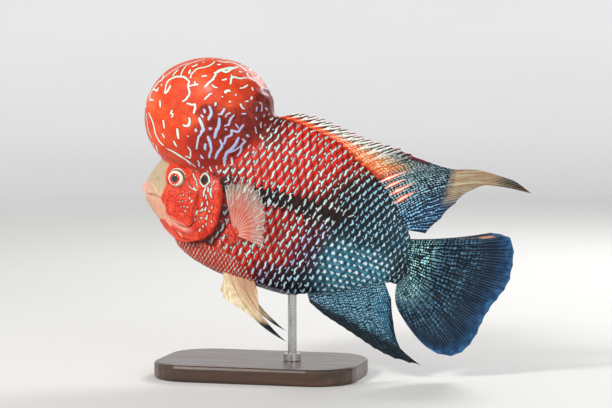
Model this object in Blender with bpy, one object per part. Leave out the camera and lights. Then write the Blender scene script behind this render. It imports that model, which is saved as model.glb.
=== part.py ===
"""Flowerhorn cichlid, life size, as a still display model held by a plain stand.

The fish is first modelled straight: s runs from the snout towards the tail, y to its right and h
up, in millimetres. Its flesh is lofted from outline curves, its fins are fans of rays, and every
piece is then bent sideways along the curved backbone. An empty pitches the whole fish nose up.
World axes are in metres: the snout points to -X, the left side faces -Y and +Z is up.
"""

import math

import bmesh
import bpy
import numpy as np
from mathutils import Matrix, Vector

MM = 0.001
GAP = 0.3

# Body outline in the plane of symmetry, as (s, h), and how wide the body is.
BACK = [(5, 4), (5.9, 9.5), (7, 13.5), (8.8, 18), (11.5, 24), (20.5, 38), (40, 56), (62, 70), (86, 79.8),
        (98, 81), (112, 79.8), (126, 77.8), (140, 75), (155, 67.3), (181, 53.3), (198, 36), (209, 23)]
BELLY = [(5, 4), (6, -3), (9, -7.2), (14, -11.8), (25, -18.2), (31.5, -23.4), (42, -28.5), (48, -33),
         (62, -38.2), (84, -41.6), (120, -42.5), (137, -41), (145, -37.4), (174, -25.6), (199, -12.8),
         (209, -11.5)]
HALF_WIDTH = [(5, 0), (5.7, 4.5), (8, 8), (12, 11.2), (20, 15.3), (32, 19.3), (48, 22), (66, 23),
              (90, 22.5), (120, 19.5), (150, 14.5), (180, 9), (200, 5), (209, 3.4)]
WIDEST_HEIGHT = [(5, 4), (50, 4), (90, 10), (140, 16), (180, 13), (209, 6)]
BACK_SHARPNESS = 1.15
RING_POINTS = 36
HEAD_STATIONS = (5, 5.3, 5.9, 7, 8.6, 10.6, 13, 16, 20, 24.5, 29, 34, 39, 44, 49, 54, 60, 65, 70)
TORSO_STATIONS = (70, 76, 82, 89, 96, 103, 110, 117, 124, 131, 137, 142, 147, 153, 160, 167, 174, 181, 188)
TAIL_STATIONS = (188, 192, 196, 200, 204, 209)

# Nuchal hump: its outline as radii round a centre, every 30 degrees from tailward to upward.
HUMP_CENTRE = (37.5, 64.5)
HUMP_RADII = (52, 54, 50, 45, 43.6, 45, 46.8, 47.2, 44, 42.5, 47, 50)
HUMP_HALF_WIDTH = 31
HUMP_SEGMENTS, HUMP_RINGS = 36, 20

# Eyes, in the straight frame.
EYE_PLACE = (37, 14.9, 17)
EYE_RADIUS = 7.6
ORBIT_RADIUS = 8.1
ORBIT_RIM = 1.5
ORBIT_DEPTH = 18.1
NOSTRIL_PLACE = (21.5, 15, 12.6)
NOSTRIL_RADIUS = 1.2

# Lips: half of the path from the front round to the mouth corner, as (s, y, h, radius).
UPPER_LIP = [(5.4, 0, 1.9, 3.2), (6.2, 4.4, 1.9, 3.1), (8.8, 8, 1.6, 2.7), (13, 11.2, 0.9, 2.2), (19, 14.2, 0.1, 1.5)]
LOWER_LIP = [(9, 0, -4.7, 2.4), (9.7, 3.8, -4.7, 2.3), (11.7, 7.2, -4.5, 2.1), (15, 10.4, -3.9, 1.8), (19, 13.3, -3, 1.4)]
MOUTH_LINE = [(-4, -1.6), (9, -2.1), (20.5, -1.4)]
JAW_REAR = [(26, -8), (31.5, -15), (29.5, -32)]

# Gill cover: its front and rear edges from the top round to the throat, as (s, h).
GILL_FRONT = [(62, 27), (57.5, 15), (57, 1), (55.5, -9), (49, -14), (39, -16), (33, -17.5)]
GILL_REAR = [(68.5, 28), (74.5, 18), (76.6, 3), (75, -9), (67.5, -19), (52, -25.5), (35, -22.5)]
GILL_ROWS, GILL_COLUMNS = 16, 6
GILL_THICKNESS = 2.2
GILL_EDGE = 0.7

# Fins. Thicknesses are half of the whole: at a ray and on the membrane, at the root and the tip.
RAY_ROOT, RAY_TIP = 0.68, 0.34
MEMBRANE_ROOT, MEMBRANE_TIP = 0.3, 0.26

# Rays as (root s, tip s, tip h, bow): bow is how far the ray arches off its chord, as a share of it.
DORSAL_RAYS = [(93, 104, 87.3, 0), (105, 121, 88.8, 0), (125, 143, 86.2, 0), (145, 165, 83.6, 0.02),
               (160, 184, 83.3, 0.04), (172, 203, 79.6, 0.06), (180, 222, 78.6, 0.1), (186, 246, 83.4, 0.15),
               (190, 270, 82.8, 0.2), (193, 282, 77.6, 0.25), (195, 262, 76.4, 0.19), (197, 246, 71.2, 0.14),
               (199, 236, 60.2, 0.1), (201.5, 228, 46, 0.05), (204.5, 218, 29, 0.02)]
DORSAL_SPINES, DORSAL_SOFT = 15, 14
DORSAL_SPINES_END = 172
SPINE_NOTCH = 0.84

ANAL_RAYS = [(147, 151, -42.6, 0), (154, 164, -48.5, -0.03), (161, 178, -52.8, -0.05), (168, 194, -58, -0.08),
             (175, 210, -63, -0.11), (181, 226, -65.2, -0.15), (186, 241, -64.6, -0.2), (190, 228, -61.4, -0.15),
             (193, 220, -52.5, -0.09), (196, 212.5, -38, -0.05), (199, 207, -23.5, -0.02)]
ANAL_COUNT = 17

# Caudal rays are (root h, tip s, tip h, bow), fanning from the end of the tail's flesh.
CAUDAL_RAYS = [(22, 263, 42, -0.05), (19.5, 275, 43.2, -0.04), (15, 284, 29, -0.02), (10, 285.5, 12.5, 0),
               (5, 281, -2, 0), (0, 275.5, -18, 0.01), (-3.5, 273, -33, 0.02), (-6, 267, -47, 0.02),
               (-8, 254, -53.4, -0.02), (-9.6, 238, -49.5, -0.12), (-11, 222, -36.5, -0.3)]
CAUDAL_COUNT = 18
CAUDAL_WEDGE = 0.16

# Paired fins, for the left side: rays as (root s, tip s, tip h, tip distance from the middle, bow).
PELVIC_RAYS = [(83.5, 91.5, -55.4, 15, 0), (87, 147, -70, 25, 0.24), (91.5, 129.5, -61.6, 22, 0.14),
               (96, 122, -57, 19, 0.08), (101, 118, -50.5, 16, 0.04), (106.5, 114, -43.5, 12.5, 0.02)]
PELVIC_ANGLE = math.radians(-68)
PELVIC_ROOT_DEPTH = 3.0

# The right pelvic fin is swept less far back, and hangs closer to the middle.
PELVIC_FOLD = {-1: (0, 1.0), 1: (-9, 0.45)}

PECTORAL_CENTRE = (88, -7.5)
PECTORAL_LOBE = (6.4, 2.6, 7.6)
PECTORAL_ROOT_RADIUS = 5.5
PECTORAL_TIPS = [(77.5, 26.5, 35), (81, 31.5, 37), (92, 37.3, 40), (101, 34.1, 41), (108.5, 26.5, 40), (113, 16, 38.5),
                 (115, 3, 36), (117, -9.3, 32)]
PECTORAL_COUNT = 14
PECTORAL_NOTCH = 0.9

# Pose: the backbone's sideways bend at head and tail, and the nose-up pitch.
HEAD_TURN = math.radians(16)
HEAD_TURN_SPAN = (95, 20)
TAIL_TURN = math.radians(-12)
TAIL_TURN_SPAN = (120, 235)
BEND_CENTRE = 107
PITCH = math.radians(15.5)
FISH_PLACE = (0.006, -0.003, 0.1075)

# Stand.
BASE_LENGTH, BASE_WIDTH, BASE_HEIGHT = 0.150, 0.096, 0.012
BASE_BEVEL = 0.0022
BASE_CORNER = 0.03
ROD_RADIUS = 0.0032
ROD_STATION = 137
ROD_SINK = 0.012
ROD_COLLAR_RADIUS, ROD_COLLAR_HEIGHT = 0.0065, 0.005


def clear_scene():
    for obj in list(bpy.data.objects):
        bpy.data.objects.remove(obj, do_unlink=True)


def smooth_curve(points):
    """A curve through (x, value) points that never overshoots them: a monotone cubic."""
    x, v = np.array(points, float).T
    step = np.diff(x)
    slope = np.diff(v) / step
    tangent = np.zeros(len(x))
    tangent[0], tangent[-1] = slope[0], slope[-1]
    same = slope[:-1] * slope[1:] > 0
    before, after = 2 * step[1:] + step[:-1], step[1:] + 2 * step[:-1]
    safe = np.where(same, slope[:-1] * slope[1:], 1.0)
    mean = (before + after) * safe / (before * slope[1:] + after * slope[:-1] + (~same) * 1e9)
    tangent[1:-1] = np.where(same, mean, 0.0)

    def value(at):
        at = np.clip(np.asarray(at, float), x[0], x[-1])
        i = np.clip(np.searchsorted(x, at) - 1, 0, len(step) - 1)
        t = (at - x[i]) / step[i]
        return (v[i] * (2 * t**3 - 3 * t**2 + 1) + v[i + 1] * (3 * t**2 - 2 * t**3)
                + step[i] * (tangent[i] * (t**3 - 2 * t**2 + t) + tangent[i + 1] * (t**3 - t**2)))

    return value


def even_curve(rows):
    """A function of 0 to 1 through rows of values, evenly spaced, one smooth curve a column."""
    at = np.linspace(0, 1, len(rows))
    columns = [smooth_curve(list(zip(at, column))) for column in zip(*rows)]
    return lambda t: np.array([column(t) for column in columns])


back_at = smooth_curve(BACK)
belly_at = smooth_curve(BELLY)
half_width_at = smooth_curve(HALF_WIDTH)
widest_at = smooth_curve(WIDEST_HEIGHT)


def section_point(s, angle, grow=0.0):
    """The flesh's surface at station s: angle 0 is the widest point, +90 degrees the back's ridge."""
    middle, width = widest_at(s), half_width_at(s) + grow
    up = np.sin(angle) >= 0
    reach = np.where(up, back_at(s) + grow - middle, middle - belly_at(s) + grow)
    sharp = np.where(up, BACK_SHARPNESS, 1.0)
    across = width * np.sign(np.cos(angle)) * np.abs(np.cos(angle)) ** sharp
    return across, middle + reach * np.sin(angle)


def side_at(s, h):
    """How far the flesh's surface stands from the plane of symmetry at (s, h)."""
    middle = widest_at(s)
    up = h >= middle
    reach = np.where(up, back_at(s) - middle, middle - belly_at(s))
    share = np.clip(np.abs(h - middle) / np.maximum(reach, 0.01), 0, 0.999)
    sharp = np.where(up, BACK_SHARPNESS, 1.0)
    return half_width_at(s) * np.sqrt(1 - share**2) ** sharp


def on_side(s, h, lift):
    """A point lifted off the flesh's right side along its own normal."""
    step = 0.2
    y = side_at(s, h)
    along = (side_at(s + step, h) - side_at(s - step, h)) / (2 * step)
    upward = (side_at(s, h + step) - side_at(s, h - step)) / (2 * step)
    normal = np.array([-along, 1.0, -upward])
    normal /= np.linalg.norm(normal)
    return np.array([s, y, h]) + normal * lift


def mesh_object(name, points, faces):
    """A mesh object from points in millimetres, linked to the scene."""
    mesh = bpy.data.meshes.new(name)
    mesh.from_pydata([tuple(float(c) * MM for c in p) for p in points], [], faces)
    mesh.update()
    obj = bpy.data.objects.new(name, mesh)
    bpy.context.scene.collection.objects.link(obj)
    return obj


def evaluated_mesh(obj):
    bpy.context.view_layer.update()
    graph = bpy.context.evaluated_depsgraph_get()
    return bpy.data.meshes.new_from_object(obj.evaluated_get(graph))


def apply_modifiers(obj):
    baked = evaluated_mesh(obj)
    obj.modifiers.clear()
    obj.data = baked


def boolean(obj, tools, operation):
    """One Boolean of obj with a collection of tools, applied. The tools stay."""
    group = bpy.data.collections.new("boolean_tools")
    bpy.context.scene.collection.children.link(group)
    for tool in tools:
        group.objects.link(tool)
    modifier = obj.modifiers.new("boolean", "BOOLEAN")
    modifier.operation = operation
    modifier.operand_type = "COLLECTION"
    modifier.collection = group
    modifier.solver = "EXACT"
    apply_modifiers(obj)
    bpy.data.collections.remove(group)


def remove(*objects):
    for obj in objects:
        bpy.data.objects.remove(obj, do_unlink=True)


def keep_largest(obj):
    """Keeps only the largest closed surface of a mesh, which drops scraps that a cut left loose."""
    shape = bmesh.new()
    shape.from_mesh(obj.data)
    bmesh.ops.remove_doubles(shape, verts=shape.verts, dist=1e-6)
    waiting = set(shape.faces)
    islands = []
    while waiting:
        front = [waiting.pop()]
        island = list(front)
        while front:
            face = front.pop()
            for edge in face.edges:
                for other in edge.link_faces:
                    if other in waiting:
                        waiting.discard(other)
                        front.append(other)
                        island.append(other)
        islands.append(island)
    islands.sort(key=lambda island: sum(face.calc_area() for face in island))
    loose = [face for island in islands[:-1] for face in island]
    bmesh.ops.delete(shape, geom=loose, context="FACES")
    shape.to_mesh(obj.data)
    shape.free()


def body_loft(name, stations, grow=0.0, start=0.0, end=0.0):
    """Flesh between the first and last station, moved in by start and end where a cut parts it."""
    stations = list(stations)
    closed_front = half_width_at(stations[0]) < 0.01
    stations[0] += start
    stations[-1] -= end
    angles = np.linspace(-math.pi / 2, 1.5 * math.pi, RING_POINTS, endpoint=False)
    points, faces = [], []
    if closed_front:
        points.append((stations[0] - grow, 0, widest_at(stations[0])))
        stations = stations[1:]
    first_ring = len(points)
    for s in stations:
        across, height = section_point(s, angles, grow)
        points += [(s, y, h) for y, h in zip(across, height)]
    n = RING_POINTS
    for ring in range(len(stations) - 1):
        low = first_ring + ring * n
        for i in range(n):
            j = (i + 1) % n
            faces.append((low + i, low + n + i, low + n + j, low + j))
    if closed_front:
        faces += [(0, 1 + i, 1 + (i + 1) % n) for i in range(n)]
    else:
        faces.append(tuple(range(n)))
    last = first_ring + (len(stations) - 1) * n
    faces.append(tuple(last + i for i in reversed(range(n))))
    obj = mesh_object(name, points, faces)
    face_outwards(obj)
    return obj


def face_outwards(obj):
    shape = bmesh.new()
    shape.from_mesh(obj.data)
    bmesh.ops.recalc_face_normals(shape, faces=shape.faces)
    if shape.calc_volume(signed=True) < 0:
        bmesh.ops.reverse_faces(shape, faces=shape.faces)
    shape.to_mesh(obj.data)
    shape.free()


def ball(name, segments, rings, reshape):
    """A UV sphere whose unit directions are moved to where reshape puts them, in millimetres."""
    shape = bmesh.new()
    bmesh.ops.create_uvsphere(shape, u_segments=segments, v_segments=rings, radius=1.0)
    for vertex in shape.verts:
        vertex.co = Vector(reshape(np.array(vertex.co))) * MM
    mesh = bpy.data.meshes.new(name)
    shape.to_mesh(mesh)
    shape.free()
    obj = bpy.data.objects.new(name, mesh)
    bpy.context.scene.collection.objects.link(obj)
    face_outwards(obj)
    return obj


def hump_radius(angle):
    """The hump's outline radius, as a smooth closed curve through its named radii."""
    count = len(HUMP_RADII)
    place = (angle / (2 * math.pi) * count) % count
    i = int(place)
    t = place - i
    a, b, c, d = (HUMP_RADII[(i + k) % count] for k in (-1, 0, 1, 2))
    return b + 0.5 * t * (c - a + t * (2 * a - 5 * b + 4 * c - d + t * (3 * (b - c) + d - a)))


def hump(name, grow=0.0):
    """The nuchal hump, a full rounded dome that overhangs the snout and the nape."""

    def reshape(unit):
        angle = math.atan2(unit[1], unit[0])
        out = math.hypot(unit[0], unit[1]) ** (2 / 3)
        radius = (hump_radius(angle) + grow) * out
        return (HUMP_CENTRE[0] + radius * math.cos(angle), unit[2] * (HUMP_HALF_WIDTH + grow),
                HUMP_CENTRE[1] + radius * math.sin(angle))

    return ball(name, HUMP_SEGMENTS, HUMP_RINGS, reshape)


def eye(name, side, grow=0.0):
    s, y, h = EYE_PLACE
    radius = EYE_RADIUS + grow
    return ball(name, 24, 14, lambda unit: (s + unit[0] * radius, side * y + unit[2] * radius, h + unit[1] * radius))


def orbit_rim(side):
    """The fleshy ring round the eye, tilted to lie along the cheek."""
    s, _, h = EYE_PLACE
    bpy.ops.mesh.primitive_torus_add(major_segments=24, minor_segments=8, major_radius=ORBIT_RADIUS * MM,
                                     minor_radius=ORBIT_RIM * MM)
    ring = bpy.context.object
    tilt = Matrix.Rotation(side * math.radians(12), 4, "Z") @ Matrix.Rotation(math.radians(90), 4, "X")
    ring.data.transform(Matrix.Translation(Vector((s, side * ORBIT_DEPTH, h)) * MM) @ tilt)
    ring.matrix_world = Matrix.Identity(4)
    return ring


def lip(name, half_path):
    """A tapered tube round the front of the mouth, from one corner to the other."""
    whole = [(s, -y, h, r) for s, y, h, r in reversed(half_path[1:])] + list(half_path)
    curve = bpy.data.curves.new(name, "CURVE")
    curve.dimensions = "3D"
    curve.bevel_depth = MM
    curve.bevel_resolution = 3
    curve.use_fill_caps = True
    curve.resolution_u = 3
    spline = curve.splines.new("BEZIER")
    spline.bezier_points.add(len(whole) - 1)
    for point, (s, y, h, r) in zip(spline.bezier_points, whole):
        point.co = (s * MM, y * MM, h * MM)
        point.radius = r
        point.handle_left_type = point.handle_right_type = "AUTO"
    obj = bpy.data.objects.new(name, curve)
    bpy.context.scene.collection.objects.link(obj)
    tube = bpy.data.objects.new(name + "_mesh", evaluated_mesh(obj))
    bpy.context.scene.collection.objects.link(tube)
    remove(obj)
    shape = bmesh.new()
    shape.from_mesh(tube.data)
    bmesh.ops.remove_doubles(shape, verts=shape.verts, dist=1e-6)
    shape.to_mesh(tube.data)
    shape.free()
    face_outwards(tube)
    return tube


def prism(name, outline, half_depth):
    """A closed outline in the plane of symmetry, pushed out to both sides."""
    n = len(outline)
    points = [(s, side * half_depth, h) for side in (-1, 1) for s, h in outline]
    faces = [tuple(range(n)), tuple(reversed(range(n, 2 * n)))]
    faces += [(i, n + i, n + (i + 1) % n, (i + 1) % n) for i in range(n)]
    obj = mesh_object(name, points, faces)
    face_outwards(obj)
    return obj


def jaw_block(name, grow):
    """The space that belongs to the lower jaw, under the mouth line and in front of the throat."""
    rear = [(s + grow, h) for s, h in JAW_REAR]
    mouth = [(s, h + grow) for s, h in MOUTH_LINE]
    front = MOUTH_LINE[0][0]
    return prism(name, mouth + rear + [(front, JAW_REAR[-1][1])], 40)


def gill_cover(name, side):
    """A curved plate laid on the cheek, thin at its edges, its rear edge raised off the shoulder."""
    front, rear = even_curve(GILL_FRONT), even_curve(GILL_REAR)
    inner, outer = [], []
    for row in np.linspace(0, 1, GILL_ROWS):
        for column in np.linspace(0, 1, GILL_COLUMNS):
            s, h = front(row) * (1 - column) + rear(row) * column
            crown = math.sin(math.pi * (0.08 + 0.84 * row)) ** 0.5 * math.sin(math.pi * (0.06 + 0.62 * column)) ** 0.6
            inner.append(on_side(s, h, GAP) * (1, side, 1))
            outer.append(on_side(s, h, GAP + GILL_EDGE + (GILL_THICKNESS - GILL_EDGE) * crown) * (1, side, 1))
    return sheet_object(name, np.array(inner), np.array(outer), GILL_ROWS, GILL_COLUMNS)


def sheet_object(name, first, second, rows, columns):
    """A thin solid between two like grids of points, split into triangles alike on both faces."""
    count = rows * columns
    faces = []
    for r in range(rows - 1):
        for c in range(columns - 1):
            a, b, d, e = r * columns + c, r * columns + c + 1, (r + 1) * columns + c, (r + 1) * columns + c + 1
            faces += [(a, b, e), (a, e, d)]
            faces += [(count + a, count + e, count + b), (count + a, count + d, count + e)]
    rim = [c for c in range(columns)]
    rim += [r * columns + columns - 1 for r in range(1, rows)]
    rim += [(rows - 1) * columns + c for c in range(columns - 2, -1, -1)]
    rim += [r * columns for r in range(rows - 2, 0, -1)]
    for a, b in zip(rim, rim[1:] + rim[:1]):
        faces += [(a, count + a, count + b), (a, count + b, b)]
    obj = mesh_object(name, list(first) + list(second), faces)
    face_outwards(obj)
    return obj


def ray_curve(root, tip, bow, t):
    """Points along a bowed ray: a quadratic curve whose middle is pushed off its chord, in (s, h)."""
    chord = tip - root
    length = np.hypot(chord[0], chord[2])
    across = np.array([-chord[2], 0, chord[0]]) / max(length, 1e-6)
    control = (root + tip) / 2 + across * bow * length
    t = t[:, None]
    return root * (1 - t) ** 2 + control * 2 * t * (1 - t) + tip * t**2


def fin_rays(roots, tips, bows, notches, steps):
    """Grids of points along rays and the membranes between them: [column, step, xyz] and a ray mark."""
    columns, marks = [], []
    for i, (root, tip, bow, notch) in enumerate(zip(roots, tips, bows, notches)):
        columns.append(ray_curve(root, tip, bow, steps))
        marks.append(1.0)
        if i + 1 < len(roots):
            middle_root, middle_tip = (root + roots[i + 1]) / 2, (tip + tips[i + 1]) / 2
            middle_bow = (bow + bows[i + 1]) / 2
            columns.append(ray_curve(middle_root, middle_tip, middle_bow, steps * notch))
            marks.append(0.0)
    return np.array(columns), np.array(marks)


def fin_solid(name, grid, marks, steps, root_swell=0.0, swell_end=0.14, sideways=None):
    """A fin as one sheet whose rays stand proud of the membrane as ridges on both faces."""
    along = steps[None, :]
    ray = RAY_ROOT + (RAY_TIP - RAY_ROOT) * along
    membrane = MEMBRANE_ROOT + (MEMBRANE_TIP - MEMBRANE_ROOT) * along
    half = marks[:, None] * ray + (1 - marks[:, None]) * membrane
    swell = np.clip(1 - along / swell_end, 0, 1) ** 1.5
    half = half + np.asarray(root_swell).reshape(-1, 1) * swell
    if sideways is None:
        sideways = np.broadcast_to(np.array([0.0, 1.0, 0.0]), grid.shape)
    first, second = grid - sideways * half[..., None], grid + sideways * half[..., None]
    columns, rows = grid.shape[:2]
    return sheet_object(name, first.reshape(-1, 3), second.reshape(-1, 3), columns, rows)


def spread(values, count):
    """Resamples a table's rows at evenly spaced places, smoothly."""
    return np.array([even_curve(values)(t) for t in np.linspace(0, 1, count)])


def median_rays(table, stations):
    """Tip s, tip h and bow of the rays whose roots stand at these stations."""
    columns = list(zip(*table))
    return [smooth_curve(list(zip(columns[0], column)))(stations) for column in columns[1:]]


def dorsal_fin():
    spines = np.linspace(DORSAL_RAYS[0][0], DORSAL_SPINES_END, DORSAL_SPINES)
    soft = np.linspace(DORSAL_SPINES_END, DORSAL_RAYS[-1][0], DORSAL_SOFT + 1)[1:]
    stations = np.concatenate([spines, soft])
    tip_s, tip_h, bows = median_rays(DORSAL_RAYS, stations)
    roots = np.stack([stations, 0 * stations, back_at(stations) + GAP], 1)
    tips = np.stack([tip_s, 0 * tip_s, tip_h], 1)
    notches = np.where(stations < DORSAL_SPINES_END, SPINE_NOTCH, 0.99)
    steps = np.array([0, 0.08, 0.2, 0.36, 0.52, 0.68, 0.84, 1.0])
    grid, marks = fin_rays(roots, tips, bows, notches, steps)
    return fin_solid("dorsal_fin", grid, marks, steps, root_swell=0.7)


def anal_fin():
    stations = np.linspace(ANAL_RAYS[0][0], ANAL_RAYS[-1][0], ANAL_COUNT)
    tip_s, tip_h, bows = median_rays(ANAL_RAYS, stations)
    roots = np.stack([stations, 0 * stations, belly_at(stations) - GAP], 1)
    tips = np.stack([tip_s, 0 * tip_s, tip_h], 1)
    steps = np.array([0, 0.08, 0.22, 0.4, 0.6, 0.8, 1.0])
    grid, marks = fin_rays(roots, tips, bows, np.full(ANAL_COUNT, 0.97), steps)
    return fin_solid("anal_fin", grid, marks, steps, root_swell=0.7)


def caudal_fin():
    rays = spread(CAUDAL_RAYS, CAUDAL_COUNT)
    end = TAIL_STATIONS[-1]
    roots = np.stack([np.full(CAUDAL_COUNT, end + GAP), np.zeros(CAUDAL_COUNT), rays[:, 0]], 1)
    tips = np.stack([rays[:, 1], np.zeros(CAUDAL_COUNT), rays[:, 2]], 1)
    steps = np.array([0, 0.07, 0.16, 0.32, 0.5, 0.68, 0.85, 1.0])
    grid, marks = fin_rays(roots, tips, rays[:, 3], np.full(CAUDAL_COUNT, 0.985), steps)
    flesh = np.array([max(0.0, float(side_at(end, h)) - RAY_ROOT) for h in grid[:, 0, 2]])
    return fin_solid("caudal_fin", grid, marks, steps, root_swell=flesh, swell_end=CAUDAL_WEDGE)


def sheet_normals(grid):
    """Unit normals of a grid of points, all pointing to the same side."""
    across = np.gradient(grid, axis=0)
    along = np.gradient(grid, axis=1)
    normal = np.cross(across, along)
    return normal / np.maximum(np.linalg.norm(normal, axis=-1, keepdims=True), 1e-9)


def pelvic_fin(name, side, flesh):
    """A pointed fin hanging from the breast, its second ray drawn out into a filament."""
    table = np.array(PELVIC_RAYS)
    roots = []
    for s in table[:, 0]:
        across, height = section_point(s, PELVIC_ANGLE)
        roots.append((s, side * across * 0.72, height + PELVIC_ROOT_DEPTH))
    roots = np.array(roots)
    sweep, spread_share = PELVIC_FOLD[side]
    tips = np.stack([table[:, 1] + sweep, side * table[:, 3] * spread_share, table[:, 2]], 1)
    steps = np.array([0, 0.14, 0.26, 0.4, 0.55, 0.7, 0.85, 1.0])
    grid, marks = fin_rays(roots, tips, -table[:, 4], np.full(len(roots), 0.96), steps)
    obj = fin_solid(name, grid, marks, steps, root_swell=0.9, swell_end=0.3, sideways=sheet_normals(grid))
    boolean(obj, [flesh], "DIFFERENCE")
    keep_largest(obj)
    return obj


def pectoral_fin(name, side, flesh):
    """A fan of fine rays on a fleshy lobe, held up and away from the flank."""
    s, h = PECTORAL_CENTRE
    y = float(side_at(s, h))
    tips = spread(PECTORAL_TIPS, PECTORAL_COUNT)[:, (0, 2, 1)]
    roots = []
    for tip in tips:
        out = np.array([tip[0] - s, tip[2] - h])
        out = out / np.linalg.norm(out) * PECTORAL_ROOT_RADIUS
        roots.append((s + out[0], y + 1.6, h + out[1]))
    roots = np.array(roots)
    steps = np.array([0, 0.12, 0.28, 0.46, 0.64, 0.82, 1.0])
    notches = np.full(PECTORAL_COUNT, PECTORAL_NOTCH)
    turned = np.array([1, side, 1])
    grid, marks = fin_rays(roots * turned, tips * turned, np.full(PECTORAL_COUNT, 0.02), notches, steps)
    fan = fin_solid(name, grid, marks, steps, sideways=sheet_normals(grid))
    lobe = ball(name + "_lobe", 16, 10,
                lambda unit: (s + unit[0] * PECTORAL_LOBE[0], side * (y + 0.4) + unit[2] * PECTORAL_LOBE[1],
                              h + unit[1] * PECTORAL_LOBE[2]))
    boolean(fan, [lobe], "UNION")
    remove(lobe)
    boolean(fan, [flesh], "DIFFERENCE")
    keep_largest(fan)
    return fan


def head_pieces():
    """The head with its lips and eye rims, parted from the lower jaw along the mouth."""
    whole = body_loft("head", HEAD_STATIONS, end=GAP / 2)
    extras = [lip("upper_lip", UPPER_LIP), orbit_rim(-1), orbit_rim(1)]
    boolean(whole, extras, "UNION")
    remove(*extras)
    jaw = body_loft("lower_jaw", HEAD_STATIONS)
    lower_lip = lip("lower_lip", LOWER_LIP)
    boolean(jaw, [lower_lip], "UNION")
    remove(lower_lip)
    space = jaw_block("jaw_space", -GAP / 2)
    boolean(jaw, [space], "INTERSECT")
    keep_largest(jaw)
    room = jaw_block("jaw_room", GAP / 2)
    dome = hump("hump_room", grow=GAP)
    cutters = [room, dome]
    for side in (-1, 1):
        cutters.append(eye("eye_room", side, grow=GAP))
        s, y, h = NOSTRIL_PLACE
        cutters.append(ball("nostril", 10, 6, lambda unit, y=y * side: (s + unit[0] * NOSTRIL_RADIUS, y + unit[2]
                            * 2.5 * NOSTRIL_RADIUS, h + unit[1] * NOSTRIL_RADIUS)))
    boolean(whole, cutters, "DIFFERENCE")
    keep_largest(whole)
    remove(space, *cutters)
    return [whole, jaw]


def torso_piece():
    torso = body_loft("torso", TORSO_STATIONS, start=GAP / 2, end=GAP / 2)
    dome = hump("hump_room", grow=GAP)
    boolean(torso, [dome], "DIFFERENCE")
    keep_largest(torso)
    remove(dome)
    return torso


def fish_pieces():
    """Every piece of the fish, straight and level."""
    pieces = head_pieces()
    pieces.append(torso_piece())
    pieces.append(body_loft("tail", TAIL_STATIONS, start=GAP / 2))
    pieces.append(hump("nuchal_hump"))
    pieces += [dorsal_fin(), anal_fin(), caudal_fin()]
    flesh = body_loft("flesh_room", HEAD_STATIONS + TORSO_STATIONS[1:] + TAIL_STATIONS[1:], grow=GAP)
    for word, side in (("left", -1), ("right", 1)):
        pieces.append(eye("eye_" + word, side))
        pieces.append(gill_cover("gill_cover_" + word, side))
        pieces.append(pelvic_fin("pelvic_fin_" + word, side, flesh))
        pieces.append(pectoral_fin("pectoral_fin_" + word, side, flesh))
    remove(flesh)
    return pieces


def ease(t):
    t = np.clip(t, 0, 1)
    return t * t * (3 - 2 * t)


def backbone_turn(s):
    """How far the backbone is turned to the fish's right at station s."""
    head = (HEAD_TURN_SPAN[0] - s) / (HEAD_TURN_SPAN[0] - HEAD_TURN_SPAN[1])
    tail = (s - TAIL_TURN_SPAN[0]) / (TAIL_TURN_SPAN[1] - TAIL_TURN_SPAN[0])
    return HEAD_TURN * ease(head) + TAIL_TURN * ease(tail)


def bent(points):
    """Straight points in millimetres carried onto the bent backbone, sections staying flat."""
    table = np.linspace(-80, 340, 1681)
    turn = backbone_turn(table)
    step = table[1] - table[0]
    ahead, aside = np.cos(turn), -np.sin(turn)
    x = np.concatenate([[0], np.cumsum((ahead[1:] + ahead[:-1]) / 2 * step)])
    y = np.concatenate([[0], np.cumsum((aside[1:] + aside[:-1]) / 2 * step)])
    x -= np.interp(BEND_CENTRE, table, x)
    y -= np.interp(BEND_CENTRE, table, y)
    s, across, height = points.T
    here = backbone_turn(s)
    return np.stack([np.interp(s, table, x) + across * np.sin(here),
                     np.interp(s, table, y) + across * np.cos(here), height], 1)


def bend_object(obj):
    """Bends a straight piece, split into triangles first so that its faces stay flat."""
    shape = bmesh.new()
    shape.from_mesh(obj.data)
    bmesh.ops.triangulate(shape, faces=shape.faces)
    shape.to_mesh(obj.data)
    shape.free()
    points = np.zeros(len(obj.data.vertices) * 3)
    obj.data.vertices.foreach_get("co", points)
    moved = bent(points.reshape(-1, 3) / MM) * MM
    obj.data.vertices.foreach_set("co", moved.ravel())
    obj.data.update()


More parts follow.
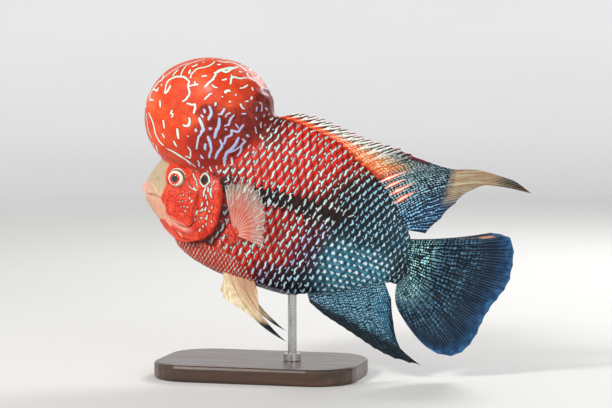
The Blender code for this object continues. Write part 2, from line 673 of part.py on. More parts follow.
def stand_pieces(pose):
    """A flat base with rounded corners, and one upright rod that ends in a socket in the belly."""
    station = bent(np.array([[ROD_STATION, 0, float(belly_at(ROD_STATION))]]))[0] * MM
    foot = pose @ Vector(station)
    outline = bpy.data.curves.new("stand_base_outline", "CURVE")
    outline.dimensions = "2D"
    outline.fill_mode = "BOTH"
    outline.extrude = BASE_HEIGHT / 2 - BASE_BEVEL
    outline.bevel_depth = BASE_BEVEL
    outline.bevel_resolution = 1
    outline.offset = -BASE_BEVEL
    spline = outline.splines.new("POLY")
    corners = []
    for quarter in range(4):
        centre_x = (1, -1, -1, 1)[quarter] * (BASE_LENGTH / 2 - BASE_CORNER)
        centre_y = (1, 1, -1, -1)[quarter] * (BASE_WIDTH / 2 - BASE_CORNER)
        for step in range(7):
            angle = math.pi / 2 * (quarter + step / 6)
            corners.append((centre_x + BASE_CORNER * math.cos(angle), centre_y + BASE_CORNER * math.sin(angle)))
    spline.points.add(len(corners) - 1)
    for point, (x, y) in zip(spline.points, corners):
        point.co = (x, y, 0, 1)
    spline.use_cyclic_u = True
    drawn = bpy.data.objects.new("stand_base_outline", outline)
    bpy.context.scene.collection.objects.link(drawn)
    drawn.location.z = BASE_HEIGHT / 2
    base = bpy.data.objects.new("stand_base", evaluated_mesh(drawn))
    base.matrix_world = drawn.matrix_world
    bpy.context.scene.collection.objects.link(base)
    remove(drawn)
    weld(base)
    rod = cylinder("stand_rod", ROD_RADIUS, BASE_HEIGHT + GAP * MM, foot.z + ROD_SINK, foot)
    collar = cylinder("stand_rod_collar", ROD_COLLAR_RADIUS, BASE_HEIGHT + GAP * MM,
                      BASE_HEIGHT + GAP * MM + ROD_COLLAR_HEIGHT, foot)
    boolean(rod, [collar], "UNION")
    remove(collar)
    socket = cylinder("rod_socket", ROD_RADIUS + GAP * MM, 0.5 * foot.z, foot.z + ROD_SINK + GAP * MM, foot)
    return base, rod, socket


def weld(obj):
    shape = bmesh.new()
    shape.from_mesh(obj.data)
    bmesh.ops.remove_doubles(shape, verts=shape.verts, dist=1e-6)
    shape.to_mesh(obj.data)
    shape.free()
    face_outwards(obj)


def cylinder(name, radius, low, high, centre):
    bpy.ops.mesh.primitive_cylinder_add(vertices=20, radius=radius, depth=high - low,
                                        location=(centre.x, centre.y, (low + high) / 2))
    obj = bpy.context.object
    obj.name = name
    return obj


def material(name, colour, roughness, metallic=0.0):
    made = bpy.data.materials.new(name)
    made.use_nodes = True
    shader = made.node_tree.nodes["Principled BSDF"]
    shader.inputs["Base Color"].default_value = (*colour, 1)
    shader.inputs["Roughness"].default_value = roughness
    shader.inputs["Metallic"].default_value = metallic
    return made


def finishes():
    """Which finish each node wears, by the start of its name."""
    red = material("red_skin", (0.62, 0.06, 0.03), 0.35)
    orange = material("orange_hump", (0.75, 0.11, 0.04), 0.3)
    teal = material("teal_skin", (0.07, 0.2, 0.25), 0.35)
    cream = material("cream_skin", (0.78, 0.66, 0.5), 0.4)
    blue = material("blue_fin", (0.05, 0.13, 0.22), 0.4)
    pale = material("pale_fin", (0.8, 0.72, 0.56), 0.4)
    iris = material("eye", (0.35, 0.05, 0.03), 0.08)
    wood = material("dark_wood", (0.05, 0.028, 0.016), 0.35)
    steel = material("steel", (0.6, 0.6, 0.6), 0.25, 1.0)
    return {"head": red, "lower_jaw": cream, "torso": red, "tail": teal, "nuchal_hump": orange, "dorsal_fin": blue,
            "anal_fin": blue, "caudal_fin": blue, "eye": iris, "gill_cover": red, "pelvic_fin": pale,
            "pectoral_fin": pale, "stand_base": wood, "stand_rod": steel}


def main():
    clear_scene()
    pieces = fish_pieces()
    pose = Matrix.Translation(FISH_PLACE) @ Matrix.Rotation(PITCH, 4, "Y")
    empty = bpy.data.objects.new("fish_pose", None)
    empty.matrix_world = pose
    parts = bpy.data.collections.new("flowerhorn_cichlid")
    bpy.context.scene.collection.children.link(parts)
    parts.objects.link(empty)
    for piece in pieces:
        bend_object(piece)
        piece.parent = empty
    base, rod, socket = stand_pieces(pose)
    torso = next(piece for piece in pieces if piece.name == "torso")
    boolean(torso, [socket], "DIFFERENCE")
    keep_largest(torso)
    remove(socket)
    wear = finishes()
    for piece in pieces + [base, rod]:
        piece.data.materials.clear()
        piece.data.materials.append(next(wear[key] for key in wear if piece.name.startswith(key)))
        for group in list(piece.users_collection):
            group.objects.unlink(piece)
        parts.objects.link(piece)
        piece.data.shade_smooth()
        piece.data.set_sharp_from_angle(angle=math.radians(50))


main()
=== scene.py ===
"""Looks of the flowerhorn cichlid display model.

Shapes are worked out in a straight frame, in millimetres: s runs from snout to tail, y to the
fish's right and h up. pose() bends them along the backbone, pitches the fish nose up and gives
metres in the frame of the solids.
"""
import math

import bmesh
import bpy
import numpy as np
from mathutils import Matrix, Vector


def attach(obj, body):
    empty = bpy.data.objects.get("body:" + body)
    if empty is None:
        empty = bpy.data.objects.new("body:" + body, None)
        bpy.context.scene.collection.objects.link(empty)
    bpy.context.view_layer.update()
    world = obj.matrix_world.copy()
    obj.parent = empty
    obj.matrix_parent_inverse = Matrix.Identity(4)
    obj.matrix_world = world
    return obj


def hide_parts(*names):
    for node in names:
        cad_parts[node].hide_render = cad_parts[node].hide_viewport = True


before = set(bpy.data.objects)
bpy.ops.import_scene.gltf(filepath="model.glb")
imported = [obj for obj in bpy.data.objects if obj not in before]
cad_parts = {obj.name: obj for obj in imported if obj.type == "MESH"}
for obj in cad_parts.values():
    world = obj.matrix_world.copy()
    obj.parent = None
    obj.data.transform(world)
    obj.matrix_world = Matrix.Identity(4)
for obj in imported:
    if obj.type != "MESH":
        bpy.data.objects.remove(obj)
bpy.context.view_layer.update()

MM = 0.001
SIDES = {"left": -1, "right": 1}

# Flesh: outlines in the plane of symmetry and widths, as in the solids.
BACK = [(5, 4), (5.9, 9.5), (7, 13.5), (8.8, 18), (11.5, 24), (20.5, 38), (40, 56), (62, 70), (86, 79.8),
        (98, 81), (112, 79.8), (126, 77.8), (140, 75), (155, 67.3), (181, 53.3), (198, 36), (209, 23)]
BELLY = [(5, 4), (6, -3), (9, -7.2), (14, -11.8), (25, -18.2), (31.5, -23.4), (42, -28.5), (48, -33),
         (62, -38.2), (84, -41.6), (120, -42.5), (137, -41), (145, -37.4), (174, -25.6), (199, -12.8),
         (209, -11.5)]
HALF_WIDTH = [(5, 0), (5.7, 4.5), (8, 8), (12, 11.2), (20, 15.3), (32, 19.3), (48, 22), (66, 23),
              (90, 22.5), (120, 19.5), (150, 14.5), (180, 9), (200, 5), (209, 3.4)]
WIDEST_HEIGHT = [(5, 4), (50, 4), (90, 10), (140, 16), (180, 13), (209, 6)]
BACK_SHARPNESS = 1.15
SNOUT, TAIL_END = 5, 209

# Nuchal hump: outline radii round its centre, every 30 degrees from tailward to upward.
HUMP_CENTRE = (37.5, 64.5)
HUMP_RADII = (52, 54, 50, 45, 43.6, 45, 46.8, 47.2, 44, 42.5, 47, 50)
HUMP_HALF_WIDTH = 31

GILL_SPOT = (59.3, 23.6)
EYE_PLACE = (37.7, 14.9, 18.2)
EYE_RADIUS = 7.6
EYE_LOOK = (0.03, 0.95, -0.12)
PUPIL_TILT, PUPIL_STRETCH = math.radians(25), 1.18
IRIS_FLAT = 5.9
BALL_GAP, COVER_GAP, COVER_BULGE = 0.35, 0.1, 0.5
SOCKET_DEPTH = 1.3
ORBIT_RADIUS, ORBIT_RIM, ORBIT_DEPTH = 8.1, 1.5, 18.1
ORBIT_TILT = math.radians(12)
NOSTRIL_PLACE = (21.5, 15, 12.6)
UPPER_LIP = [(5.4, 0, 1.9, 3.2), (6.2, 4.4, 1.9, 3.1), (8.8, 8, 1.6, 2.7), (13, 11.2, 0.9, 2.2),
             (19, 14.2, 0.1, 1.5)]
LOWER_LIP = [(9, 0, -4.7, 2.4), (9.7, 3.8, -4.7, 2.3), (11.7, 7.2, -4.5, 2.1), (15, 10.4, -3.9, 1.8),
             (19, 13.3, -3, 1.4)]
MOUTH_LINE = [(-4, -1.5), (9, -1.7), (20.5, -1.2), (24, -3.6)]
GILL_REAR = [(68.5, 28), (74.5, 18), (76.6, 3), (75, -9), (67.5, -19), (52, -25.5), (35, -22.5)]
PREOPERCLE = [(57.5, 18), (58.8, 8), (60, -1), (59.5, -8), (55.5, -12.5), (48, -12.8), (38.9, -11.5),
              (31, -9)]

# Grooves behind the mouth and along the throat: a path in (s, h), a depth and a width.
FACE_FOLDS = [([(19.5, -0.8), (17.5, 4), (18.5, 9)], 0.6, 0.8),
              ([(12.5, -1), (12.6, 3), (10.6, 6.6), (8.2, 9)], 1.1, 1.0),
              ([(22.5, -4), (23, -9), (21, -14)], 0.55, 0.8),
              ([(24, -16.5), (36, -17), (48, -18.5), (58, -18.5)], 0.7, 0.8),
              ([(28, -20), (40, -20.5), (54, -22.5)], 0.7, 0.8)]

# Relief of the head: heights and depths in millimetres.
GILL_PLATE, GILL_TRENCH, GILL_LIP = 2.1, 0.9, 0.45
CHEEK_FOLD, CHEEK_GROOVE, CHEEK_SWELL = 1.0, 1.1, 0.95
MOUTH_CLEFT, NOSTRIL_PIT, NOSTRIL_RIM = 1.5, 1.7, 0.4
HUMP_BROAD, HUMP_SMALL, HUMP_LUMPS, HUMP_CREASE = 0.9, (0.25, 0.9), 1.5, 0.35

# Edges of markings: the pale face's rear edge as (h, s), the top of the hump's dark part as (s, h).
PALE_EDGE = [(-30, 14), (-22, 20), (-17.5, 26), (-14.5, 33), (-12.8, 39), (-10.9, 41), (-9.1, 37.5),
             (-3.8, 34.8), (-1.8, 32.6), (0.5, 31), (5.2, 31.2), (10.5, 32), (14.3, 30.5), (24, 27),
             (33, 27.5), (45, 28)]
RED_EDGE = [(183, 76), (180.7, 68.6), (179.6, 59.4), (174.5, 49), (168, 41.1), (161.2, 33.9),
            (153.6, 27.1), (149.1, 19), (146.6, 9.3), (145.5, -3), (142.6, -17.4), (139.4, -27.5),
            (134, -42)]
BAND_MIDDLE = [(66, 27), (77, 26), (91, 25.5), (104, 25.5), (117, 24.8), (130, 23.8), (145, 21.5),
               (160, 21), (209, 20)]
BAND_HALF = [(66, 2.8), (77, 4), (91, 5.6), (104, 6.2), (120, 6.4), (150, 8), (209, 10)]
DARK_TOP = [(44, 59), (46, 66), (50, 72.5), (54, 77), (58, 80), (64, 80.5), (70, 81), (75, 84), (90, 84)]

# Fins, as rays: root, tip and bow, as in the solids.
DORSAL_RAYS = [(93, 104, 87.3, 0), (105, 121, 88.8, 0), (125, 143, 86.2, 0), (145, 165, 83.6, 0.02),
               (160, 184, 83.3, 0.04), (172, 203, 79.6, 0.06), (180, 222, 78.6, 0.1),
               (186, 246, 83.4, 0.15), (190, 266, 82.8, 0.2), (191.6, 274, 81, 0.22),
               (193, 283.5, 76.8, 0.25), (194, 270, 77.6, 0.22), (195, 260, 76.6, 0.19),
               (197, 246, 71.2, 0.14), (199, 236, 60.2, 0.1), (201.5, 228, 46, 0.05),
               (204.5, 218, 29, 0.02)]
DORSAL_SPINES, DORSAL_SOFT, DORSAL_SPINES_END = 15, 14, 172
ANAL_RAYS = [(147, 151, -42.6, 0), (154, 164, -48.5, -0.03), (161, 178, -52.8, -0.05),
             (168, 194, -58, -0.08), (175, 210, -63, -0.11), (181, 226, -65.2, -0.15),
             (186, 241, -64.6, -0.2), (190, 228, -61.4, -0.15), (193, 220, -52.5, -0.09),
             (196, 212.5, -38, -0.05), (199, 207, -23.5, -0.02)]
ANAL_COUNT = 17
CAUDAL_RAYS = [(22, 263, 42, -0.05), (19.5, 275, 43.2, -0.04), (15, 284, 29, -0.02), (10, 285.5, 12.5, 0),
               (5, 281, -2, 0), (0, 275.5, -18, 0.01), (-3.5, 273, -33, 0.02), (-6, 267, -47, 0.02),
               (-8, 254, -53.4, -0.02), (-9.6, 238, -49.5, -0.12), (-11, 222, -36.5, -0.3)]
CAUDAL_COUNT = 18
PELVIC_RAYS = [(83.5, 91.5, -55.4, 15, 0), (87, 147, -70, 25, 0.24), (91.5, 129.5, -61.6, 22, 0.14),
               (96, 122, -57, 19, 0.08), (101, 118, -50.5, 16, 0.04), (106.5, 114, -43.5, 12.5, 0.02)]
PELVIC_ANGLE = math.radians(-68)
PELVIC_ROOT_DEPTH = 3.0
PELVIC_FOLD = {-1: (0, 1.0), 1: (-9, 0.45)}
PECTORAL_CENTRE = (88, -7.5)
PECTORAL_LOBE = (6.4, 2.6, 7.6)
PECTORAL_ROOT_RADIUS = 5.5
PECTORAL_TIPS = [(77.5, 26.5, 35), (81, 31.5, 37), (92, 37.3, 40), (101, 34.1, 41), (108.5, 26.5, 40),
                 (113, 16, 38.5), (115, 3, 36), (117, -9.3, 32)]
PECTORAL_COUNT = 14
LOBE_SPOT = (84.5, -12)
RAY_ROOT, RAY_TIP = 0.62, 0.26
MEMBRANE_ROOT, MEMBRANE_TIP = 0.22, 0.12

# How much of the pectoral membrane shows at places along it, from root to edge.
MEMBRANE_CLEAR = [(0.0, 0.9), (0.3, 0.7), (0.6, 0.36), (0.9, 0.14)]

# Pose of the whole fish.
HEAD_TURN, HEAD_TURN_SPAN = math.radians(16), (95, 20)
TAIL_TURN, TAIL_TURN_SPAN = math.radians(-12), (120, 235)
BEND_CENTRE = 107
PITCH = math.radians(15.5)
FISH_PLACE = (0.006, -0.003, 0.1075)

# Skin mesh: face size, how the part behind a station is squeezed for it, and where faces are split.
VOXEL = 1.18
TAIL_SQUEEZE = (84, 0.5)
FACE_DETAIL = (78, 33)
LINE_DETAIL = 0.9
CREASE_ROUNDS = 22

# Scales: pitch along the body and between rows at the front and the tail, in millimetres.
SCALE_LENGTH = [(40, 4.2), (64, 4.4), (78, 5.0), (90, 5.5), (120, 5.5), (160, 4.8), (209, 4.1)]
SCALE_ROW = [(40, 5.4), (64, 5.6), (80, 6.3), (92, 6.7), (120, 6.7), (160, 5.0), (209, 4.0)]
SCALE_MIDLINE = [(40, 4), (74, 12), (130, 16), (170, 13), (209, 6)]
BREAST_SCALES = (2.9, 3.3)
SCALE_START, SCALE_ARC = 36, 90
SCALE_JITTER = 0.04
SCALE_REACH, SCALE_OVERLAP, SCALE_RIM = 1.5, 0.66, 0.35
SCALE_FULL = 5.9
SCALE_PATCH = 0.0015
SCALE_SPREAD = (0, 0.14, 0.3, 0.46, 0.62, 0.78, 0.91, 1, 1)
SCALE_COLUMNS = 9

# Rows and columns of the grids, and steps of the curves that paths are read at.
BODY_GRID, HUMP_GRID, LIP_RINGS, TUBE_SIDES = (200, 160), (90, 160), 60, 16
ORBIT_GRID, LOBE_GRID, EYE_GRID = (48, 14), (28, 48), (64, 72)
POSE_RANGE, POSE_STEPS = (-80, 340), 1681
NOISE_CELLS = 32

# Painted lines of the skin, as a half width and a path in (s, h): pale ones, cream ones and painted fold
# shade.
HUMP_LINES = [
    (0.65, [(17.1, 75.7), (15.2, 82.8), (18.0, 86.9), (23.0, 89.8), (28.2, 90.7), (33.6, 89.0)]),
    (0.75, [(17.8, 75.3), (19.5, 78.5), (19.9, 81.9)]),
    (0.6, [(33.2, 89.4), (34.2, 85.4), (37.1, 80.9), (36.3, 76.4), (34.2, 74.1)]),
    (0.45, [(34.1, 85.6), (37.8, 87.6), (40.6, 88.9)]), (0.4, [(38.1, 87.7), (38.0, 90.4)]),
    (0.55, [(32.8, 91.7), (32.7, 94.8), (33.1, 97.7), (35.0, 99.9), (38.1, 101.3), (40.7, 103.7),
            (41.4, 105.8), (40.7, 106.8)]),
    (0.5, [(24.6, 90.8), (23.2, 94.9), (23.0, 97.9), (24.6, 100.5), (28.2, 103.6), (31.8, 106.3)]),
    (0.5, [(3.5, 78.9), (7.8, 84.0), (11.0, 88.8), (15.1, 93.7), (18.2, 97.1), (22.3, 100.1)]),
    (0.7, [(17.4, 88.9), (17.8, 92.1), (18.4, 94.0)]), (0.7, [(30.2, 94.3), (29.3, 96.5)]),
    (0.5, [(40.8, 95.3), (43.6, 96.4)]),
    (0.6, [(46.1, 88.6), (47.3, 91.9), (48.7, 95.4), (48.8, 98.7), (47.3, 100.1)]),
    (0.95, [(48.2, 99.6), (49.7, 102.3), (52.2, 104.4), (54.6, 106.6)]),
    (0.8, [(49.6, 102.5), (53.7, 102.3), (55.4, 105.3), (56.9, 107.9)]),
    (0.5, [(54.5, 96.7), (56.8, 98.0)]),
    (0.6, [(60.5, 96.0), (59.2, 99.3), (60.4, 100.8), (63.5, 101.2), (66.5, 102.5)]),
    (0.4, [(57.9, 101.7), (59.5, 99.4)]),
    (0.8, [(42.0, 107.9), (46.9, 108.3), (49.8, 109.3), (54.8, 109.1), (59.2, 108.2), (62.8, 106.9)]),
    (0.4, [(50.2, 91.0), (54.0, 90.5)]), (0.5, [(48.9, 80.3), (50.2, 83.5), (51.7, 85.6)]),
    (0.5, [(37.7, 73.6), (41.0, 73.8), (43.5, 75.0)]),
    (0.65, [(43.5, 74.6), (44.3, 71.5), (44.5, 68.4)]), (0.6, [(14.8, 69.2), (17.0, 64.9)]),
    (0.55, [(28.2, 65.9), (27.8, 63.1), (29.6, 62.8), (29.2, 60.9)]),
    (0.55, [(22.7, 56.3), (24.7, 51.3)]),
    (0.7, [(42.1, 64.2), (43.3, 61.1), (42.4, 58.3), (39.6, 57.9)]),
    (0.75, [(35.5, 53.7), (37.5, 47.8)]), (0.5, [(23.4, 46.9), (26.1, 44.5)]),
    (0.55, [(34.2, 44.3), (36.8, 41.4)]),
    (0.55, [(5.5, 57.6), (10.4, 54.0), (14.1, 49.7), (17.2, 44.1), (21.3, 40.4), (25.6, 38.5)]),
    (0.4, [(1.7, 56.2), (5.1, 49.5), (8.3, 43.9), (11.7, 40.5)]),
    (0.7, [(2.5, 67.2), (0.9, 71.2), (3.1, 76.6), (4.6, 80.3), (8.4, 83.9), (4.9, 86.5)]),
    (0.6, [(2.1, 74.9), (8.7, 75.2), (8.2, 77.3)]), (0.5, [(2.8, 66.7), (7.5, 67.7)]),
    (0.35, [(45.6, 43.7), (47.8, 40.7), (47.4, 36.1), (44.2, 36.3)]),
    (0.3, [(27.6, 37.3), (35.1, 36.0), (41.9, 34.3), (47.2, 32.9), (51.1, 30.9)]),
    (0.3, [(30.9, 37.2), (37.7, 36.1), (43.9, 33.9), (47.5, 31.0)]),
    (0.95, [(48.8, 65.8), (51.0, 63.1), (52.9, 59.5), (52.6, 56.2)]),
    (0.5, [(52.6, 56.2), (51.1, 51.2), (51.4, 44.1)]), (0.8, [(48.3, 57.9), (48.7, 56.8)]),
    (1.0, [(57.0, 61.6), (57.6, 61.1)]), (0.5, [(44.0, 51.6), (44.2, 51.3)]),
    (0.75, [(56.4, 49.8), (56.9, 45.5)]), (0.45, [(54.9, 40.8), (56.3, 38.6)]),
    (0.45, [(53.4, 35.3), (53.8, 31.8)]), (0.8, [(53.2, 76.6), (55.5, 72.0), (54.7, 67.3)]),
    (0.7, [(50.4, 73.3), (51.5, 71.5)]), (0.6, [(49.3, 68.9), (51.0, 67.8)]),
    (0.6, [(56.2, 80.3), (56.7, 78.2)]), (0.6, [(62.6, 78.2), (61.9, 74.0), (60.1, 72.9)]),
    (0.65, [(64.5, 83.7), (64.7, 83.4)]), (0.45, [(59.1, 85.5), (59.2, 85.3)]),
    (0.5, [(66.2, 89.4), (66.6, 89.4)]), (0.4, [(66.7, 76.3), (64.9, 74.1), (64.8, 72.4)]),
    (0.5, [(69.4, 75.6), (68.1, 72.0), (68.0, 68.2), (65.7, 66.3)]),
    (0.85, [(61.4, 70.0), (62.1, 64.7), (61.4, 60.2), (61.2, 55.5)]),
    (0.6, [(66.7, 64.3), (66.9, 64.0)]), (0.8, [(56.9, 55.5), (59.1, 52.0), (60.8, 47.2)]),
    (0.6, [(60.8, 47.2), (60.1, 40.6)]),
    (0.7, [(64.9, 55.2), (67.0, 51.4), (64.9, 46.3), (63.8, 41.0)]),
    (0.6, [(68.0, 53.9), (68.0, 57.9), (70.8, 61.2), (70.3, 64.6), (73.7, 64.0), (75.5, 68.0),
           (76.3, 70.5)]),
    (0.4, [(71.5, 69.5), (73.9, 67.3)]),
    (0.9, [(75.3, 60.5), (74.4, 55.7), (72.5, 51.1), (70.0, 46.8), (69.5, 39.3)]),
    (0.5, [(77.4, 54.7), (73.9, 50.2), (70.6, 47.7)]),
    (0.6, [(77.9, 60.0), (79.3, 58.7), (77.8, 55.7), (77.9, 51.6), (76.3, 47.0)]),
    (0.6, [(73.2, 44.8), (74.9, 38.9)]), (0.5, [(68.7, 43.2), (69.7, 37.2)]),
    (0.5, [(64.7, 35.6), (65.4, 34.2)]), (0.5, [(75.4, 91.2), (75.8, 89.0)]),
    (0.4, [(80.5, 84.9), (80.8, 82.2)]), (0.35, [(81.6, 77.6), (82.1, 76.2)]),
    (0.35, [(74.7, 87.4), (72.8, 86.6)]), (0.35, [(73.6, 77.7), (75.8, 78.4)]),
    (0.4, [(69.9, 98.0), (68.7, 96.2), (66.7, 94.8)]), (0.4, [(72.8, 97.3), (74.1, 95.6)]),
]
FACE_LINES = [
    (0.55, [(45.8, 7.9), (46.0, 7.3)]), (0.55, [(47.9, 8.7), (48.0, 8.1)]),
    (0.45, [(46.1, 2.8), (46.4, 2.6)]), (0.5, [(48.1, 3.8), (48.4, 3.9)]),
    (0.5, [(50.5, 4.9), (50.9, 5.3)]), (0.45, [(47.8, -0.3), (48.1, -0.4)]),
    (0.55, [(50.2, 0.3), (50.5, 0.7)]), (0.65, [(52.8, 0.9), (53.3, 0.9)]),
    (0.65, [(51.8, -2.5), (52.6, -1.8)]), (0.35, [(51.2, -4.9), (51.5, -4.5)]),
    (0.4, [(49.8, 11.3), (50.2, 11.0)]), (0.5, [(51.7, 12.5), (52.2, 11.8)]),
    (0.5, [(52.7, 8.3), (53.3, 7.2)]), (0.6, [(55.3, 6.8), (54.7, 5.1)]),
    (0.6, [(53.8, 16.6), (54.5, 15.0), (56.5, 14.9)]),
    (0.55, [(49.6, 25.4), (51.1, 23.6), (52.7, 22.2), (54.5, 20.8)]),
    (0.4, [(48.0, 17.5), (51.3, 15.3), (54.6, 14.5)]), (0.5, [(54.3, 20.2), (55.4, 17.8)]),
    (0.6, [(55.8, 22.9), (57.0, 26.9), (58.6, 28.3), (61.3, 26.6), (62.9, 23.7), (62.0, 20.6),
           (60.2, 19.0), (57.3, 20.4), (55.8, 22.9)]),
    (0.65, [(62.0, 18.8), (62.3, 15.4), (62.2, 12.2)]), (0.6, [(63.5, 19.5), (65.2, 16.2)]),
    (0.65, [(66.3, 19.7), (67.1, 15.6), (68.5, 13.4)]), (0.6, [(62.7, 8.1), (62.9, 5.3)]),
    (0.5, [(64.4, 14.2), (64.9, 11.3)]), (0.5, [(66.1, 10.0), (67.1, 7.3)]),
    (0.65, [(63.8, 3.6), (63.3, 1.3)]), (0.65, [(66.3, 5.5), (66.2, 2.9)]),
    (0.8, [(59.1, 1.0), (59.1, -2.3)]), (0.55, [(68.8, 0.6), (68.5, -2.4), (67.1, -2.2)]),
    (0.5, [(69.2, 4.0), (69.3, 2.7)]), (0.5, [(65.1, -2.2), (63.4, -3.7)]),
    (0.5, [(63.5, -5.7), (63.7, -6.0)]), (0.55, [(67.2, -7.5), (67.3, -9.1)]),
    (0.55, [(69.1, -5.2), (69.1, -6.7)]), (0.6, [(65.7, -10.8), (65.8, -12.7)]),
    (0.45, [(59.0, -4.8), (59.3, -7.1)]), (0.4, [(59.9, -9.6), (60.0, -10.0)]),
    (0.5, [(70.3, 7.4), (70.5, 6.1)]), (0.5, [(71.9, -2.3), (72.5, -3.6)]),
    (0.4, [(57.8, 13.2), (57.9, 11.8)]), (0.4, [(53.1, 36.2), (53.8, 33.0)]),
    (0.45, [(54.5, 40.1), (56.1, 38.6)]), (0.4, [(51.5, 28.1), (52.1, 27.7)]),
    (0.5, [(60.7, 33.9), (62.7, 30.5)]), (0.4, [(59.9, 29.5), (59.1, 30.7)]),
    (0.35, [(56.6, 32.6), (56.0, 31.7)]), (0.4, [(66.4, 24.9), (65.9, 22.0), (65.7, 20.6)]),
]
# Cream lines: cream markings, the widest of them a painted highlight along the lower edge of the cheek.
CREAM_AND_HIGHLIGHT_LINES = [
    (0.9, [(40.7, -11.4), (45.4, -11.9), (50.5, -12.7), (54.3, -13.5)]),
    (0.6, [(38.3, -14.3), (42.9, -15.9), (48.8, -18.1), (53.8, -20.5)]),
    (0.5, [(14.7, 7.8), (19.5, 5.7), (24.1, 3.9)]),
]
# Dark lines: painted shade in the folds and grooves of the face and in the cleft of the mouth.
FOLD_SHADE_LINES = [
    (0.45, [(37.3, -16.0), (42.7, -17.7), (48.9, -20.0), (53.6, -21.3), (59.4, -21.1), (65.3, -18.4)]),
    (0.4, [(41.5, -10.9), (46.7, -12.7), (52.2, -14.2), (56.4, -13.5), (59.1, -10.8)]),
    (0.75, [(57.4, 14.4), (57.9, 7.7), (58.3, 1.0), (58.5, -5.8), (58.2, -11.5)]),
    (0.45, [(47.4, 21.3), (49.1, 18.4), (52.6, 15.5)]),
    (0.45, [(27.6, 30.8), (32.3, 29.5), (37.9, 27.9), (43.2, 26.1)]),
    (0.2, [(11.8, -1.1), (19.2, 0.4), (24.7, 0.6), (29.8, 0.5)]),
]
LINE_STEP = 0.4
LINE_FAR = 6.0
LINE_REACH = 3.5
LINE_REAR = 92
LINE_WANDER, LINE_WANDER_SIZE = 5, 9

# Loose lines on the hump: how many are tried, points in each, step, bend, clear distance and half width.
LOOSE_TRIES, LOOSE_POINTS, LOOSE_STEP = 900, (4, 22), 0.45
LOOSE_CLEAR, LOOSE_HALF = 3.2, (0.4, 0.75)
LOOSE_ANGLES, LOOSE_POLARS = (-0.6, 4.3), (0.25, 2.9)
LOOSE_ROUND, LOOSE_FARTHEST = (46, 40), -27

# Camera of the photo: where it stands round the fish, how far, and the width of a pixel at the fish.
CAMERA_TURN, CAMERA_RISE = math.radians(14), math.radians(4)
CAMERA_DISTANCE, PIXEL, SENSOR_WIDTH = 1600, 0.743, 36
PICTURE_WIDTH, PICTURE_CENTRE, SNOUT_PIXEL = 612, (306, 204), (142, 187)

# Floor: radius and height from its middle to the top of its wall, in metres.
FLOOR_PROFILE = [(0.0001, 0), (0.6, 0), (1.4, 0), (2.2, 0), (2.8, 0.08), (3.3, 0.3), (3.7, 0.7),
                 (3.95, 1.2), (4.0, 1.8), (4.0, 3.0)]
FLOOR_SIDES = 96

# Lights: name, place, size, power and colour; all point at LIGHT_AIM.
LIGHTS = [("key_light", (-0.75, -1.25, 1.15), 0.4, 20.5, (1.0, 0.98, 0.95)),
          ("fill_light", (1.2, -1.0, 0.5), 0.9, 4, (0.95, 0.97, 1.0)),
          ("rim_light", (0.4, 1.1, 1.0), 0.6, 12, (1, 1, 1))]
LIGHT_AIM = (0.0, 0.0, 0.12)
SKY_COLOUR, SKY_STRENGTH = (0.86, 0.88, 0.92, 1), 0.44


# Curves and noise

def smooth_curve(points):
    """A curve through (x, value) points that never overshoots them: a monotone cubic."""
    x, v = np.array(points, float).T
    step = np.diff(x)
    slope = np.diff(v) / step
    tangent = np.zeros(len(x))
    tangent[0], tangent[-1] = slope[0], slope[-1]
    same = slope[:-1] * slope[1:] > 0
    before, after = 2 * step[1:] + step[:-1], step[1:] + 2 * step[:-1]
    safe = np.where(same, slope[:-1] * slope[1:], 1.0)
    mean = (before + after) * safe / (before * slope[1:] + after * slope[:-1] + (~same) * 1e9)
    tangent[1:-1] = np.where(same, mean, 0.0)

    def value(at):
        at = np.clip(np.asarray(at, float), x[0], x[-1])
        i = np.clip(np.searchsorted(x, at) - 1, 0, len(step) - 1)
        t = (at - x[i]) / step[i]
        return (v[i] * (2 * t**3 - 3 * t**2 + 1) + v[i + 1] * (3 * t**2 - 2 * t**3)
                + step[i] * (tangent[i] * (t**3 - 2 * t**2 + t) + tangent[i + 1] * (t**3 - t**2)))

    return value


def even_curve(rows):
    """A function of 0 to 1 through evenly spaced rows of values, one smooth curve a column."""
    at = np.linspace(0, 1, len(rows))
    columns = [smooth_curve(list(zip(at, column))) for column in zip(*rows)]
    return lambda t: np.stack([column(t) for column in columns], -1)


def spread(values, count):
    """That many rows at even steps along an even_curve."""
    return even_curve(values)(np.linspace(0, 1, count))


def turns(count):
    """That many even steps of a full turn."""
    return np.linspace(0, 2 * math.pi, count, endpoint=False)


def ease(t):
    """0 to 1 with level ends."""
    t = np.clip(t, 0, 1)
    return t * t * (3 - 2 * t)


def span(value, low, high):
    """0 below low, 1 above high and an eased rise between; low may be the higher one."""
    return ease((value - low) / (high - low))


def bell(distance, width):
    """1 at distance 0, falling off over the width."""
    return np.exp(-((distance / width) ** 2))


def value_noise(points, size, seed):
    """Smooth random values from 0 to 1: seeded draws on a lattice size apart, blended with eased weights."""
    draws = np.random.default_rng(seed).random((NOISE_CELLS,) * 3)
    at = np.asarray(points, float) / size
    cell = np.floor(at).astype(int)
    t = ease(at - cell)
    total = 0
    for corner in range(8):
        step = np.array([corner & 1, corner >> 1 & 1, corner >> 2])
        weight = np.prod(np.where(step, t, 1 - t), axis=-1)
        index = (cell + step) % NOISE_CELLS
        total = total + weight * draws[index[..., 0], index[..., 1], index[..., 2]]
    return total


def path_distance(path, s, h):
    """Distance of points to a path in (s, h), positive on its left, and how far along its foot lies."""
    a, b = path[:-1], path[1:]
    run = b - a
    best = np.full(s.shape, 1e9)
    along = np.zeros(s.shape)
    sign = np.ones(s.shape)
    for i in range(len(a)):
        ds, dh = s - a[i, 0], h - a[i, 1]
        t = np.clip((ds * run[i, 0] + dh * run[i, 1]) / (run[i] @ run[i]), 0, 1)
        d = np.hypot(ds - t * run[i, 0], dh - t * run[i, 1])
        near = d < best
        best = np.where(near, d, best)
        along = np.where(near, (i + t) / len(a), along)
        sign = np.where(near, np.sign(run[i, 0] * dh - run[i, 1] * ds), sign)
    return best * sign, along


